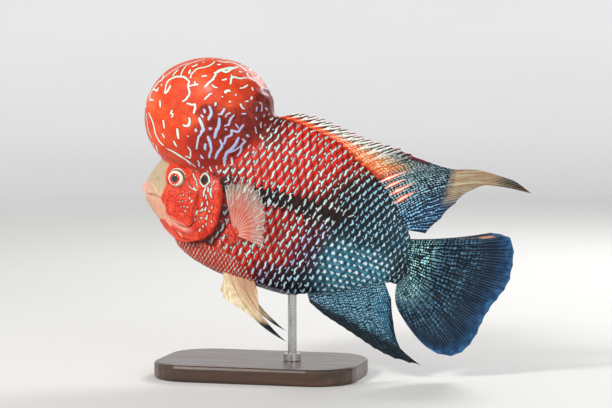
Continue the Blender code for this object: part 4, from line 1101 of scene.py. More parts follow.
def fin(name, finish, roots, tips, bows, notches, columns=12, rows=64, fork=0.0, swell=0.5, swell_end=0.1,
        wave=0.0, sideways=False, thin=1.0):
    """A fin as a closed sheet: r runs over the rays and t along them.

    Between two rays root, tip and bow are blended and the edge is notched. Each ray stands out as
    a rounded ridge on both faces; soft rays fork in two from a third of their length.
    """
    count = len(roots)
    r = np.linspace(0, count - 1, (count - 1) * columns + 1)
    f = r - np.minimum(r.astype(int), count - 2)

    def blend(values):
        values = np.asarray(values, float)
        smooth = even_curve(values.reshape(count, -1))(r / (count - 1))
        return smooth if values.ndim == 2 else smooth[:, 0]

    root, tip, bow = blend(roots), blend(tips), blend(bows)
    notch = 1 - (1 - blend(notches)) * np.sin(math.pi * f) ** 0.8
    t = np.linspace(0, 1, rows) ** 1.05
    grid = ray_curve(root[:, None], tip[:, None], bow[:, None], (t[None, :] * notch[:, None])[..., None])
    along = np.cumsum(np.concatenate([np.zeros((len(r), 1)),
                                      np.linalg.norm(np.diff(grid, axis=1), axis=2)], 1), 1)
    wide = np.linalg.norm(np.gradient(grid, axis=0), axis=2) * columns
    near = (f - np.round(f))[:, None]
    split_by = fork * ease((t[None, :] - 0.3) / 0.5) * 0.25
    thick = np.where(t < 1, RAY_ROOT + (RAY_TIP - RAY_ROOT) * t, RAY_TIP)[None, :] * thin
    ridge_width = np.clip(0.75 / np.maximum(wide, 0.8), 0.06, 0.3)
    ridge = np.maximum(bell(np.abs(near) - split_by, ridge_width),
                       bell(near, ridge_width) * span(t, 0.75, 0.4)[None])
    membrane = (MEMBRANE_ROOT + (MEMBRANE_TIP - MEMBRANE_ROOT) * t)[None, :] * thin
    half = membrane + (thick - membrane) * ridge
    half = half + swell * np.clip(1 - t / swell_end, 0, 1)[None, :] ** 1.5
    half = half * (1 - 0.55 * span(t, 0.97, 1.0))[None, :]
    normal = sheet_normals(grid) if sideways else np.broadcast_to(np.array([0.0, 1.0, 0.0]), grid.shape)
    ripple = wave * t[None, :] ** 1.5 * np.sin(r * 1.7 + 0.6)[:, None]
    grid = grid + normal * ripple[..., None]
    straight = np.concatenate([(grid - normal * half[..., None]).reshape(-1, 3),
                               (grid + normal * half[..., None]).reshape(-1, 3)])
    obj = make_object(name, pose(straight), shell_faces(len(r), rows), finish)
    outwards(obj)
    set_attribute(obj, "rest", straight)
    ray = np.stack([np.broadcast_to(r[:, None], along.shape), along,
                    np.broadcast_to(t[None, :], along.shape)], -1)
    set_attribute(obj, "ray", np.tile(ray.reshape(-1, 3), (2, 1)))
    set_attribute(obj, "ridge", np.tile(ridge.reshape(-1), 2))
    set_attribute(obj, "wide", np.tile(wide.reshape(-1), 2))
    return obj


def median_rays(table, stations):
    """Tip station, tip height and bow of a median fin's rays, read from its table at root stations."""
    columns = list(zip(*table))
    return [smooth_curve(list(zip(columns[0], column)))(stations) for column in columns[1:]]


def dorsal_fin(finish):
    spines = np.linspace(DORSAL_RAYS[0][0], DORSAL_SPINES_END, DORSAL_SPINES)
    soft = np.linspace(DORSAL_SPINES_END, DORSAL_RAYS[-1][0], DORSAL_SOFT + 1)[1:]
    stations = np.concatenate([spines, soft])
    tip_s, tip_h, bows = median_rays(DORSAL_RAYS, stations)
    roots = np.stack([stations, 0 * stations, back_at(stations) - 0.6], 1)
    tips = np.stack([tip_s, 0 * tip_s, tip_h], 1)
    notches = np.where(stations < DORSAL_SPINES_END, 0.86 + 0.08 * span(stations, 140, 170), 0.99)
    notches = notches - 0.04 * span(stations, 195, 200)
    return fin("dorsal_fin_fan", finish, roots, tips, bows, notches, columns=12, rows=60, fork=1.0,
               swell=0.8)


def anal_fin(finish):
    stations = np.linspace(ANAL_RAYS[0][0], ANAL_RAYS[-1][0], ANAL_COUNT)
    tip_s, tip_h, bows = median_rays(ANAL_RAYS, stations)
    roots = np.stack([stations, 0 * stations, belly_at(stations) + 0.6], 1)
    tips = np.stack([tip_s, 0 * tip_s, tip_h], 1)
    return fin("anal_fin_fan", finish, roots, tips, bows, np.full(ANAL_COUNT, 0.97), columns=16, rows=64,
               fork=1.0, swell=0.8)


def caudal_fin(finish):
    rays = spread(CAUDAL_RAYS, CAUDAL_COUNT)
    roots = np.stack([np.full(CAUDAL_COUNT, TAIL_END - 0.8), np.zeros(CAUDAL_COUNT), rays[:, 0]], 1)
    tips = np.stack([rays[:, 1], np.zeros(CAUDAL_COUNT), rays[:, 2]], 1)
    return fin("caudal_fin_fan", finish, roots, tips, rays[:, 3], np.full(CAUDAL_COUNT, 0.99), columns=20,
               rows=72, fork=1.0, swell=1.6, swell_end=0.12, wave=0.5)


def pelvic_fin(word, finish):
    side = SIDES[word]
    table = np.array(PELVIC_RAYS)
    across, height = section_point(table[:, 0], np.full(len(table), PELVIC_ANGLE))
    roots = np.stack([table[:, 0], side * across * 0.72, height + PELVIC_ROOT_DEPTH], 1)
    sweep, share = PELVIC_FOLD[side]
    tips = np.stack([table[:, 1] + sweep, side * table[:, 3] * share, table[:, 2]], 1)
    return fin("pelvic_fan_" + word, finish, roots, tips, -table[:, 4], np.full(len(table), 0.96),
               columns=24, rows=70, fork=1.0, swell=0.7, swell_end=0.25, sideways=True)


def pectoral_fin(word, finish):
    side = SIDES[word]
    s, h = PECTORAL_CENTRE
    y = float(side_at(s, h))
    tips = spread(PECTORAL_TIPS, PECTORAL_COUNT)[:, (0, 2, 1)]
    out = tips[:, (0, 2)] - (s, h)
    out = out / np.linalg.norm(out, axis=1, keepdims=True) * PECTORAL_ROOT_RADIUS * 0.8
    roots = np.stack([s + out[:, 0], np.full(len(out), y + 1.3), h + out[:, 1]], 1)
    turned = np.array([1, side, 1])
    return fin("pectoral_fan_" + word, finish, roots * turned, tips * turned,
               np.full(PECTORAL_COUNT, 0.02), np.full(PECTORAL_COUNT, 0.86), columns=16, rows=56,
               fork=1.0, swell=0.0, sideways=True, thin=0.85)


def pectoral_lobe(word, finish):
    """The fleshy pad at the pectoral fin's root: a flattened ball, lumpy by two sizes of noise."""
    side = SIDES[word]
    s, h = PECTORAL_CENTRE
    y = float(side_at(s, h)) + 0.4
    polar = np.linspace(0, math.pi, LOBE_GRID[0] + 2)[1:-1, None]
    angle = turns(LOBE_GRID[1])[None, :]
    middle = np.broadcast_to(np.cos(polar), LOBE_GRID)
    unit = np.stack([np.sin(polar) * np.cos(angle), middle, np.sin(polar) * np.sin(angle)], -1)
    size = np.array(PECTORAL_LOBE)
    centre = np.array([s, side * y, h])
    rings = centre + unit * size
    points, faces = closed_rings(rings, centre + (0, size[1], 0), centre - (0, size[1], 0))
    lumps = (value_noise(points, 4.2, 41) - 0.5) * 0.5 + (value_noise(points, 1.8, 43) - 0.5) * 0.2
    points = points + lumps[:, None] * (points - centre)
    obj = make_object("pectoral_lobe_" + word, pose(points), faces, finish)
    outwards(obj)
    mark(obj, points)
    return obj


# Eyes

def eye_frame(side):
    """Where the eye looks, and the directions across and up in its plane."""
    look = np.array(EYE_LOOK) * (1, side, 1)
    look /= np.linalg.norm(look)
    right = np.cross(look, (0, 0, 1.0))
    right /= np.linalg.norm(right)
    return look, right, np.cross(right, look)


def eye_shell(name, word, radius_at, finish):
    """A ball whose radius depends on the angle from where it looks, closed at both poles."""
    side = SIDES[word]
    look, right, up = eye_frame(side)
    polar = np.linspace(0, math.pi, EYE_GRID[0] + 2)[1:-1, None, None]
    angle = turns(EYE_GRID[1])[None, :, None]
    direction = np.cos(polar) * look + np.sin(polar) * (np.cos(angle) * right + np.sin(angle) * up)
    centre = np.array(EYE_PLACE) * (1, side, 1)
    points, faces = closed_rings(centre + direction * radius_at(polar), centre + look * radius_at(0.0),
                                 centre - look * radius_at(math.pi))
    obj = make_object(name, pose(points), faces, finish)
    outwards(obj)
    away = points - centre
    plane = np.stack([-side * (away @ right), away @ up, away @ look], 1)
    set_attribute(obj, "eye_place", plane)
    return obj


def ball_radius(polar):
    """The eyeball under its clear cover, flattened over the iris."""
    flat = IRIS_FLAT / np.maximum(np.cos(polar), 0.2)
    return np.where(polar < 1.2, np.minimum(EYE_RADIUS - BALL_GAP, flat), EYE_RADIUS - BALL_GAP)


def cover_radius(polar):
    """The clear cover, bulging a little over the iris."""
    return EYE_RADIUS - COVER_GAP + COVER_BULGE * bell(polar, 0.55)


# Materials

def tone(code):
    """A colour written as six hex digits of screen colour, as the linear values nodes use."""
    parts = [int(code[k:k + 2], 16) / 255 for k in (0, 2, 4)]
    return (*[p / 12.92 if p <= 0.04045 else ((p + 0.055) / 1.055) ** 2.4 for p in parts], 1.0)


class Value:
    """What a node puts out. Each sum, product, rise or ramp of it is a node of its own."""

    def __init__(self, nodes, socket):
        self.nodes, self.socket = nodes, socket

    def __add__(self, other):
        return self.nodes.math("ADD", self, other)

    def __radd__(self, other):
        return self.nodes.math("ADD", other, self)

    def __sub__(self, other):
        return self.nodes.math("SUBTRACT", self, other)

    def __rsub__(self, other):
        return self.nodes.math("SUBTRACT", other, self)

    def __mul__(self, other):
        return self.nodes.math("MULTIPLY", self, other)

    def __truediv__(self, other):
        return self.nodes.math("DIVIDE", self, other)

    def __pow__(self, other):
        return self.nodes.math("POWER", self, other)

    def __abs__(self):
        return self.nodes.math("ABSOLUTE", self)

    def rise(self, low, high, to_low=0.0, to_high=1.0):
        """An eased rise from to_low to to_high as the value goes from low to high."""
        ends = {"Value": self, "From Min": low, "From Max": high, "To Min": to_low, "To Max": to_high}
        return self.nodes.out("ShaderNodeMapRange", 0, ends, interpolation_type="SMOOTHSTEP")

    def ramp(self, stops):
        """Colours at places from 0 to 1."""
        made = self.nodes.add("ShaderNodeValToRGB", {"Fac": self})
        elements = made.color_ramp.elements
        while len(elements) < len(stops):
            elements.new(0.5)
        for element, (place, colour) in zip(elements, stops):
            element.position = place
            element.color = tone(colour) if isinstance(colour, str) else colour
        return Value(self.nodes, made.outputs[0])


class Nodes:
    """Writes a node tree as nested calls: each call adds a node and gives the value it puts out."""

    def __init__(self, tree):
        self.tree = tree

    def add(self, kind, inputs=(), **settings):
        made = self.tree.nodes.new(kind)
        for key, value in settings.items():
            setattr(made, key, value)
        for key, value in dict(inputs).items():
            self.feed(made.inputs[key], value)
        return made

    def out(self, kind, output, inputs=(), **settings):
        return Value(self, self.add(kind, inputs, **settings).outputs[output])

    def feed(self, socket, value):
        """Links a value to a socket, or sets it to a number, a vector or a colour's digits."""
        if isinstance(value, Value):
            self.tree.links.new(value.socket, socket)
        else:
            socket.default_value = tone(value) if isinstance(value, str) else value

    def math(self, operation, a, b=0.0):
        return self.out("ShaderNodeMath", 0, {0: a, 1: b}, operation=operation)

    def vector(self, operation, a, b=(0, 0, 0)):
        output = "Value" if operation == "LENGTH" else "Vector"
        return self.out("ShaderNodeVectorMath", output, {0: a, 1: b}, operation=operation)

    def root(self, a):
        return self.math("SQRT", a)

    def least(self, a, b):
        return self.math("MINIMUM", a, b)

    def most(self, a, b):
        return self.math("MAXIMUM", a, b)

    def blend(self, share, a, b, how="MIX"):
        return self.out("ShaderNodeMix", 2, {0: share, 6: a, 7: b}, data_type="RGBA", blend_type=how)

    def noise(self, vector, scale, detail=2.0, roughness=0.5, output="Fac"):
        settings = {"Vector": vector, "Scale": scale, "Detail": detail, "Roughness": roughness}
        return self.out("ShaderNodeTexNoise", output, settings)

    def cells(self, vector, scale):
        return self.out("ShaderNodeTexVoronoi", "Distance", {"Vector": vector, "Scale": scale})

    def attribute(self, name):
        return self.out("ShaderNodeAttribute", "Vector", attribute_name=name)

    def number(self, name):
        return self.out("ShaderNodeAttribute", "Fac", attribute_name=name)

    def chance(self, x, y):
        """A fixed random number for each pair of whole numbers."""
        spot = {"Vector": self.join(x, y, 0.0)}
        return self.out("ShaderNodeTexWhiteNoise", "Value", spot, noise_dimensions="3D")

    def parts(self, vector):
        return [Value(self, socket) for socket in self.add("ShaderNodeSeparateXYZ", {0: vector}).outputs]

    def join(self, x, y, z):
        return self.out("ShaderNodeCombineXYZ", 0, {0: x, 1: y, 2: z})

    def bump(self, height, strength, distance):
        return self.out("ShaderNodeBump", 0, {"Height": height, "Strength": strength, "Distance": distance})

    def group(self, tree, **inputs):
        made = self.add("ShaderNodeGroup", inputs, node_tree=tree)
        return {socket.name: Value(self, socket) for socket in made.outputs}


def new_material(name):
    """A material, the writer for its nodes, and its shader."""
    made = bpy.data.materials.new(name)
    made.use_nodes = True
    shader = made.node_tree.nodes["Principled BSDF"]
    return made, Nodes(made.node_tree), shader


def gloss(shader, specular, coat, coat_roughness):
    """The wet shine of skin, scales and fins."""
    shader.inputs["Specular IOR Level"].default_value = specular
    shader.inputs["Coat Weight"].default_value = coat
    shader.inputs["Coat Roughness"].default_value = coat_roughness


def skin_grain(n, shader, rest, scale):
    """Fine uneven roughness; gives its noise, for relief."""
    grain = n.noise(rest, scale, 3.0)
    n.feed(shader.inputs["Roughness"], grain.rise(0.3, 0.7, 0.32, 0.48))
    return grain


def new_group(name, inputs, outputs):
    """A node group with named inputs and outputs, written as {kind: labels}, and the writer for its nodes."""
    tree = bpy.data.node_groups.new(name, "ShaderNodeTree")
    for way, kinds in (("INPUT", inputs), ("OUTPUT", outputs)):
        for kind, labels in kinds.items():
            for label in labels.split():
                tree.interface.new_socket(label, in_out=way, socket_type="NodeSocket" + kind)
    n = Nodes(tree)
    given = {socket.name: Value(n, socket) for socket in n.add("NodeGroupInput").outputs}
    return tree, n, given, n.add("NodeGroupOutput").inputs


def flesh_group():
    """The fish's ground colours: red fore part, black band, dark and teal rear, orange hump, pale face."""
    tree, n, given, out = new_group("flesh_colours", {"Vector": "Rest A B C D"}, {"Color": "Colour Pearl"})
    border, upper, band = n.parts(given["A"])
    hump, dark, pale = n.parts(given["B"])
    cheek, throat, teal = n.parts(given["C"])
    brow, shade, spot = n.parts(given["D"])
    s, _, h = n.parts(given["Rest"])
    mottle = n.noise(given["Rest"], 0.22, 3.0)
    fleck = n.noise(given["Rest"], 0.7, 2.0)
    place = border + 0.6 + (mottle - 0.5) * 0.12
    high = place.ramp([(0.0, "da2a1a"), (0.24, "d4281b"), (0.34, "a81a13"), (0.43, "621210"),
                       (0.52, "1e0b10"), (0.65, "0a1920"), (0.85, "113646"), (1.0, "184656")])
    low_place = place + h.rise(-14.0, -26.0) * s.rise(96.0, 112.0, 0.0, 0.16)
    low = low_place.ramp([(0.0, "cc2a1f"), (0.3, "ca271d"), (0.42, "981a1a"), (0.52, "561326"),
                          (0.63, "2a1222"), (0.74, "0c141c"), (1.0, "0a1c26")])
    flank = n.blend(upper, low, high)
    sea = mottle.ramp([(0.3, "1a566a"), (0.5, "2e7c94"), (0.7, "52a2b6")])
    flank = n.blend(teal, flank, sea)
    keel = h.rise(-38.0, -40.2) * s.rise(104.0, 112.0)
    flank = n.blend(keel * 0.8, flank, "8ea6bc")
    breast = h.rise(-13.0, -22.0) * s.rise(104.0, 84.0)
    flank = n.blend(breast * 0.9, flank, n.blend(fleck, "cc2c1c", "ee5c34"))
    nape = h.rise(52.0, 64.0) * s.rise(112.0, 92.0)
    flank = n.blend(nape * 0.7, flank, "3c100e")
    flank = n.blend(shade * 0.92, flank, "240813")
    flank = n.blend(band, flank, n.blend(fleck, "080607", "241618"))
    streak = n.noise(n.vector("MULTIPLY", given["Rest"], (1.0, 1.0, 0.45)), 0.3, 3.0)
    face_red = streak.ramp([(0.3, "d02a18"), (0.55, "e2452c"), (0.75, "ec6442")])
    stipple = n.cells(given["Rest"], 0.95).rise(0.5, 0.15)
    face_red = n.blend(stipple * 0.2, face_red, "f4835a")
    gaps = n.cells(given["Rest"], 0.6).rise(0.42, 0.72)
    face_red = n.blend(gaps * 0.6, face_red, "9c140b")
    plate = s.rise(59.0, 62.0)
    face_red = n.blend(plate * streak.rise(0.52, 0.4, 0.1, 0.6), face_red, "a81a10")
    under = h.rise(-14.0, -22.0)
    face_red = n.blend(under * 0.6, face_red, "e2472a")
    flank = n.blend(cheek, flank, face_red)
    blush = n.noise(given["Rest"], 0.14, 2.0)
    paleness = h.rise(-14.0, 18.0) + (blush - 0.5) * 0.5
    face = paleness.ramp([(0.1, "d89c82"), (0.5, "d4ab90"), (0.8, "b9a686")])
    face = n.blend(streak.rise(0.4, 0.7, 0.0, 0.35), face, "a98a70")
    lip = s.rise(13.5, 11.5) * (h.rise(-8.0, -5.0) * h.rise(8.5, 6.0))
    face = n.blend(lip * 0.8, face, "e6a898")
    face = n.blend(fleck.rise(0.52, 0.68) * 0.35, face, "c98a66")
    flank = n.blend(throat * 0.85, flank, "dca898")
    flank = n.blend(pale, flank, face)
    glow = n.noise(given["Rest"], 0.05, 2.0)
    ball = (glow + (mottle - 0.5) * 0.35).ramp([(0.3, "d2330f"), (0.5, "e4491d"), (0.7, "ef6b38")])
    low_hump = h.rise(64.0, 42.0) * s.rise(20.0, 42.0)
    ball = n.blend(low_hump * 0.7, ball, "b02216")
    rear_hump = s.rise(52.0, 76.0) * h.rise(78.0, 90.0)
    ball = n.blend(rear_hump * 0.7, ball, n.blend(mottle, "8e1a0e", "c23a20"))
    shadow = (mottle * 0.5 + fleck * 0.5).ramp([(0.36, "1c0605"), (0.5, "46100b"), (0.62, "8e2114")])
    patch = (dark + (fleck - 0.5) * 1.6).rise(0.2, 1.0)
    ball = n.blend(dark.rise(0.0, 0.6) * 0.65, ball, "a01e12")
    ball = n.blend(patch * dark.rise(0.05, 0.6) * h.rise(38.0, 54.0, 0.55, 0.95), ball, shadow)
    brushed = n.noise(n.vector("MULTIPLY", given["Rest"], (1.1, 1.1, 0.35)), 1.0, 2.0)
    ball = n.blend(brushed.rise(0.35, 0.65, 0.0, 0.35), ball, "b02a10")
    whole = n.blend(hump, flank, ball)
    temple = dark * (1 - hump) * fleck.rise(0.4, 0.6, 0.45, 0.95)
    whole = n.blend(temple, whole, "4e100c")
    whole = n.blend(brow, whole, "dc3410")
    n.feed(out["Colour"], n.blend(spot, whole, "0a0505"))
    pearl = n.blend(place.rise(0.44, 0.58), "b4dfd6", "80bcd6")
    pearl = n.blend(breast * s.rise(96.0, 76.0, 0.0, 0.55), pearl, "e06a48")
    wine = (1 - upper) * low_place.rise(0.36, 0.5)
    pearl = n.blend(wine, pearl, n.blend(low_place.rise(0.5, 0.7), "b3bfe4", "a6cfe2"))
    pearl = n.blend(teal, pearl, "bcd6e4")
    n.feed(out["Pearl"], n.blend(band, pearl, "bccbc9"))
    return tree


def pearl_group():
    """A pearl on each scale: a dash on the red, a crescent on the dark rear or a drop, and a speck.

    Local is the place on the scale in steps along the row, rows across, and share from root to edge.
    """
    tree, n, given, out = new_group("scale_pearls", {"Vector": "Local Chance A C Rest"},
                                    {"Float": "Mask Rim Core"})
    x, y, _ = n.parts(given["Local"])
    first, second, third = n.parts(given["Chance"])
    border, _, band = n.parts(given["A"])
    _, _, roundness = n.parts(given["C"])
    waver = (n.noise(given["Rest"], 0.2, 1.5) - 0.5) * band.rise(0.0, 1.0, 0.35, 1.0)
    hook = n.math("SINE", y * 7.0 + third * 6.3) * first.rise(0.3, 1.0, 0.01, 0.07)
    bend = y * y * border.rise(-0.05, 0.1, 0.0, -0.5)
    centre = 0.41 + y * 0.25 + (bend + hook) + waver
    half = first.rise(0.0, 1.0, 0.43, 0.6)
    inside = n.most(1 - abs(y / half) ** 2.6, 0.0)
    thick = second.rise(0.0, 1.0, 0.11, 0.18) - border.rise(-0.02, 0.1) * 0.01
    absent = n.math("LESS_THAN", third, 0.12) * (band * 0.4)
    width = n.root(inside) * (thick - absent)
    dash = width - abs(x - centre)
    across = x - 0.4
    away = n.root(across * across + y * y * 0.9)
    drop = second.rise(0.0, 1.0, 0.23, 0.32) + waver * 0.4 - away
    ragged = (n.noise(given["Rest"], 1.0, 2.0) - 0.5) * 0.17
    shape = dash * (1 - roundness) + drop * roundness + ragged
    ahead = x + first.rise(0.0, 1.0, -0.12, 0.0)
    aside = y + second.rise(0.0, 1.0, -0.22, 0.22)
    speck_size = third.rise(0.25, 0.8, 0.0, 0.15)
    speck = speck_size - n.root(ahead * ahead + aside * (aside * 0.5))
    shape = n.most(shape, speck + ragged * 0.5)
    n.feed(out["Mask"], shape.rise(0.0, 0.06))
    n.feed(out["Core"], shape.rise(0.03, 0.15))
    n.feed(out["Rim"], shape.rise(-0.09, 0.0))
    return tree


def skin_material(flesh):
    """Ground colours with the painted lines, pale ones in a dark edge, over fine pits."""
    made, n, shader = new_material("fish_skin")
    rest = n.attribute("rest")
    a, b, c, d = (n.attribute("zone_" + k) for k in "abcd")
    ground = n.group(flesh, Rest=rest, A=a, B=b, C=c, D=d)
    painted = n.attribute("painted")
    ragged = (n.noise(rest, 0.9, 2.0) - 0.5) * 0.7
    pale, dark, cream = (field + ragged for field in n.parts(painted))
    hump, dusk, _ = n.parts(b)
    cheek = n.parts(c)[0]
    line = n.blend(hump * dusk, "d2eadb", "a9b6da")
    line = n.blend(cheek * (1 - hump), line, "b0e6da")
    edge = pale.rise(1.1, 0.2, 0.0, 0.5)
    colour = n.blend(edge, ground["Colour"], "8a1a0c")
    colour = n.blend((pale - hump * 0.24).rise(0.03, -0.24), colour, line)
    # Cream lines: cream markings, and the widest a painted highlight on the cheek.
    colour = n.blend(cream.rise(0.7, -0.6, 0.0, 0.8), colour, "eabf9c")
    # Dark lines are painted shade in the folds.
    colour = n.blend(dark.rise(0.8, -0.4, 0.0, 0.75), colour, "8c100a")
    n.feed(shader.inputs["Base Color"], colour)
    grain = skin_grain(n, shader, rest, 1.6)
    pits = n.cells(rest, 1.1)
    relief = pale.rise(0.3, -0.3, 0.0, 0.35) + (grain * 0.3 + pits * 0.25)
    n.feed(shader.inputs["Normal"], n.bump(relief, 0.5, 0.0006))
    gloss(shader, 0.22, 0.08, 0.15)
    return made


def scale_material(flesh, pearls):
    """The ground colour at each scale's root, painted shade where scales overlap and at rear edges, and its
    pearl.
    """
    made, n, shader = new_material("fish_scales")
    rest = n.attribute("rest")
    a, b, c, d = (n.attribute("root_" + k) for k in "abcd")
    local = n.attribute("scale_local")
    chance = n.attribute("scale_chance")
    ground = n.group(flesh, Rest=rest, A=a, B=b, C=c, D=d)
    pearl = n.group(pearls, Local=local, Chance=chance, A=a, C=c, Rest=rest)
    u = n.parts(local)[2]
    first = n.parts(chance)[0]
    lit = n.blend(first.rise(0.0, 1.0, 0.0, 0.35), ground["Colour"], "ff8a60", "SOFT_LIGHT")
    # Painted shade: darker at each scale's root, under the scale before it, and along its rear edge.
    overlap_shade = u.rise(0.86, 0.98, 0.0, 0.5) + u.rise(0.64, 0.42, 0.0, 0.7)
    shaded = n.blend(overlap_shade, lit, "3c0a08", "MULTIPLY")
    colour = n.blend(pearl["Rim"] * 0.65, shaded, "2a0605")
    shade = n.parts(d)[1]
    drop = n.blend(pearl["Core"].rise(0.0, 1.0, 0.35, 0.0), ground["Pearl"], "5f8496")
    drop = n.blend(pearl["Core"] * first.rise(0.2, 0.9, 0.05, 0.5), drop, "e6f6f2")
    colour = n.blend(pearl["Mask"] * shade.rise(0.0, 0.9, 1.0, 0.4), colour, drop)
    n.feed(shader.inputs["Base Color"], colour)
    grain = skin_grain(n, shader, rest, 1.8)
    ribs = n.math("SINE", u * 40.0)
    height = pearl["Mask"] * 0.7 + (grain * 0.2 + ribs * 0.05)
    n.feed(shader.inputs["Normal"], n.bump(height, 0.5, 0.0005))
    gloss(shader, 0.22, 0.08, 0.15)
    return made


def dot_group():
    """Dots in rows between the rays of a fin.

    Count columns fill each gap; dots lie Step apart along the ray, Size in radius; Drift moves the
    columns against each other, and without it the dots line up in arcs across the fin.
    """
    tree, n, given, out = new_group("fin_dots", {"Vector": "Ray", "Float": "Wide Count Step Size Drift"},
                                    {"Float": "Mask"})
    r, along, _ = n.parts(given["Ray"])
    sway = n.noise(n.join(r * 4.0, along, 0.0), 0.2, 2.0, 0.5, "Color")
    sway_r, sway_along, _ = n.parts(sway)
    r = r + (sway_r - 0.5) * 0.7
    along = along + (sway_along - 0.5) * 5.0
    place = r * given["Count"]
    column = n.math("FLOOR", place)
    x = (n.math("FRACT", place) - 0.5) * given["Wide"] / given["Count"]
    drift = n.noise(n.join(column * 0.17, 0.5, 0.5), 1.0, 1.0) * given["Drift"]
    row_place = along / given["Step"] + drift
    row = n.math("FLOOR", row_place)
    y = (n.math("FRACT", row_place) - 0.5) * given["Step"]
    chance = n.chance(column, row)
    away = n.root(x * x + y * y * 0.7)
    size = given["Size"] * chance.rise(0.0, 1.0, 0.6, 1.15)
    size = n.least(size, given["Wide"] / given["Count"] * 0.44)
    n.feed(out["Mask"], (size - away).rise(-0.05, 0.18))
    return tree


def line_group():
    """Fine lines along the rays of a fin: Count to each gap, Width across, thinner where the rays crowd."""
    tree, n, given, out = new_group("fin_lines", {"Vector": "Ray", "Float": "Wide Count Width"},
                                    {"Float": "Mask"})
    r = n.parts(given["Ray"])[0]
    place = r * given["Count"] + 0.5
    gap = given["Wide"] / given["Count"]
    x = abs(n.math("FRACT", place) - 0.5) * gap
    width = n.least(given["Width"] * 0.5, gap * 0.28)
    n.feed(out["Mask"], x.rise(width + 0.12, width * 0.6))
    return tree


def fin_material(name, trees):
    """A fin's material with the places it reads and what draws dots and lines on it.

    The places are ray number, distance along it, share of it, ridge, gap width and rest place.
    """
    made, n, shader = new_material(name)
    dots, lines = trees
    ray, wide = n.attribute("ray"), n.number("wide")

    def dotted(count, step, size, drift):
        return n.group(dots, Ray=ray, Wide=wide, Count=count, Step=step, Size=size, Drift=drift)["Mask"]

    def lined(count, width, shift=0.0):
        moved = n.vector("ADD", ray, (shift, 0, 0))
        return n.group(lines, Ray=moved, Wide=wide, Count=count, Width=width)["Mask"]

    return made, n, shader, (*n.parts(ray), n.number("ridge"), wide, n.attribute("rest")), dotted, lined


def finish_fin(n, shader, colour, relief, ridge, rest):
    """The roughness, relief and shine that every fin shares."""
    n.feed(shader.inputs["Base Color"], colour)
    grain = n.noise(rest, 1.4, 3.0)
    n.feed(shader.inputs["Roughness"], grain.rise(0.3, 0.7, 0.34, 0.5))
    along = n.parts(n.attribute("ray"))[1]
    joints = n.math("SINE", along * 5.2).rise(0.7, 1.0) * ridge
    height = relief * 0.4 + (grain * 0.25 - joints * 0.4)
    n.feed(shader.inputs["Normal"], n.bump(height, 0.5, 0.0004))
    gloss(shader, 0.15, 0.04, 0.2)


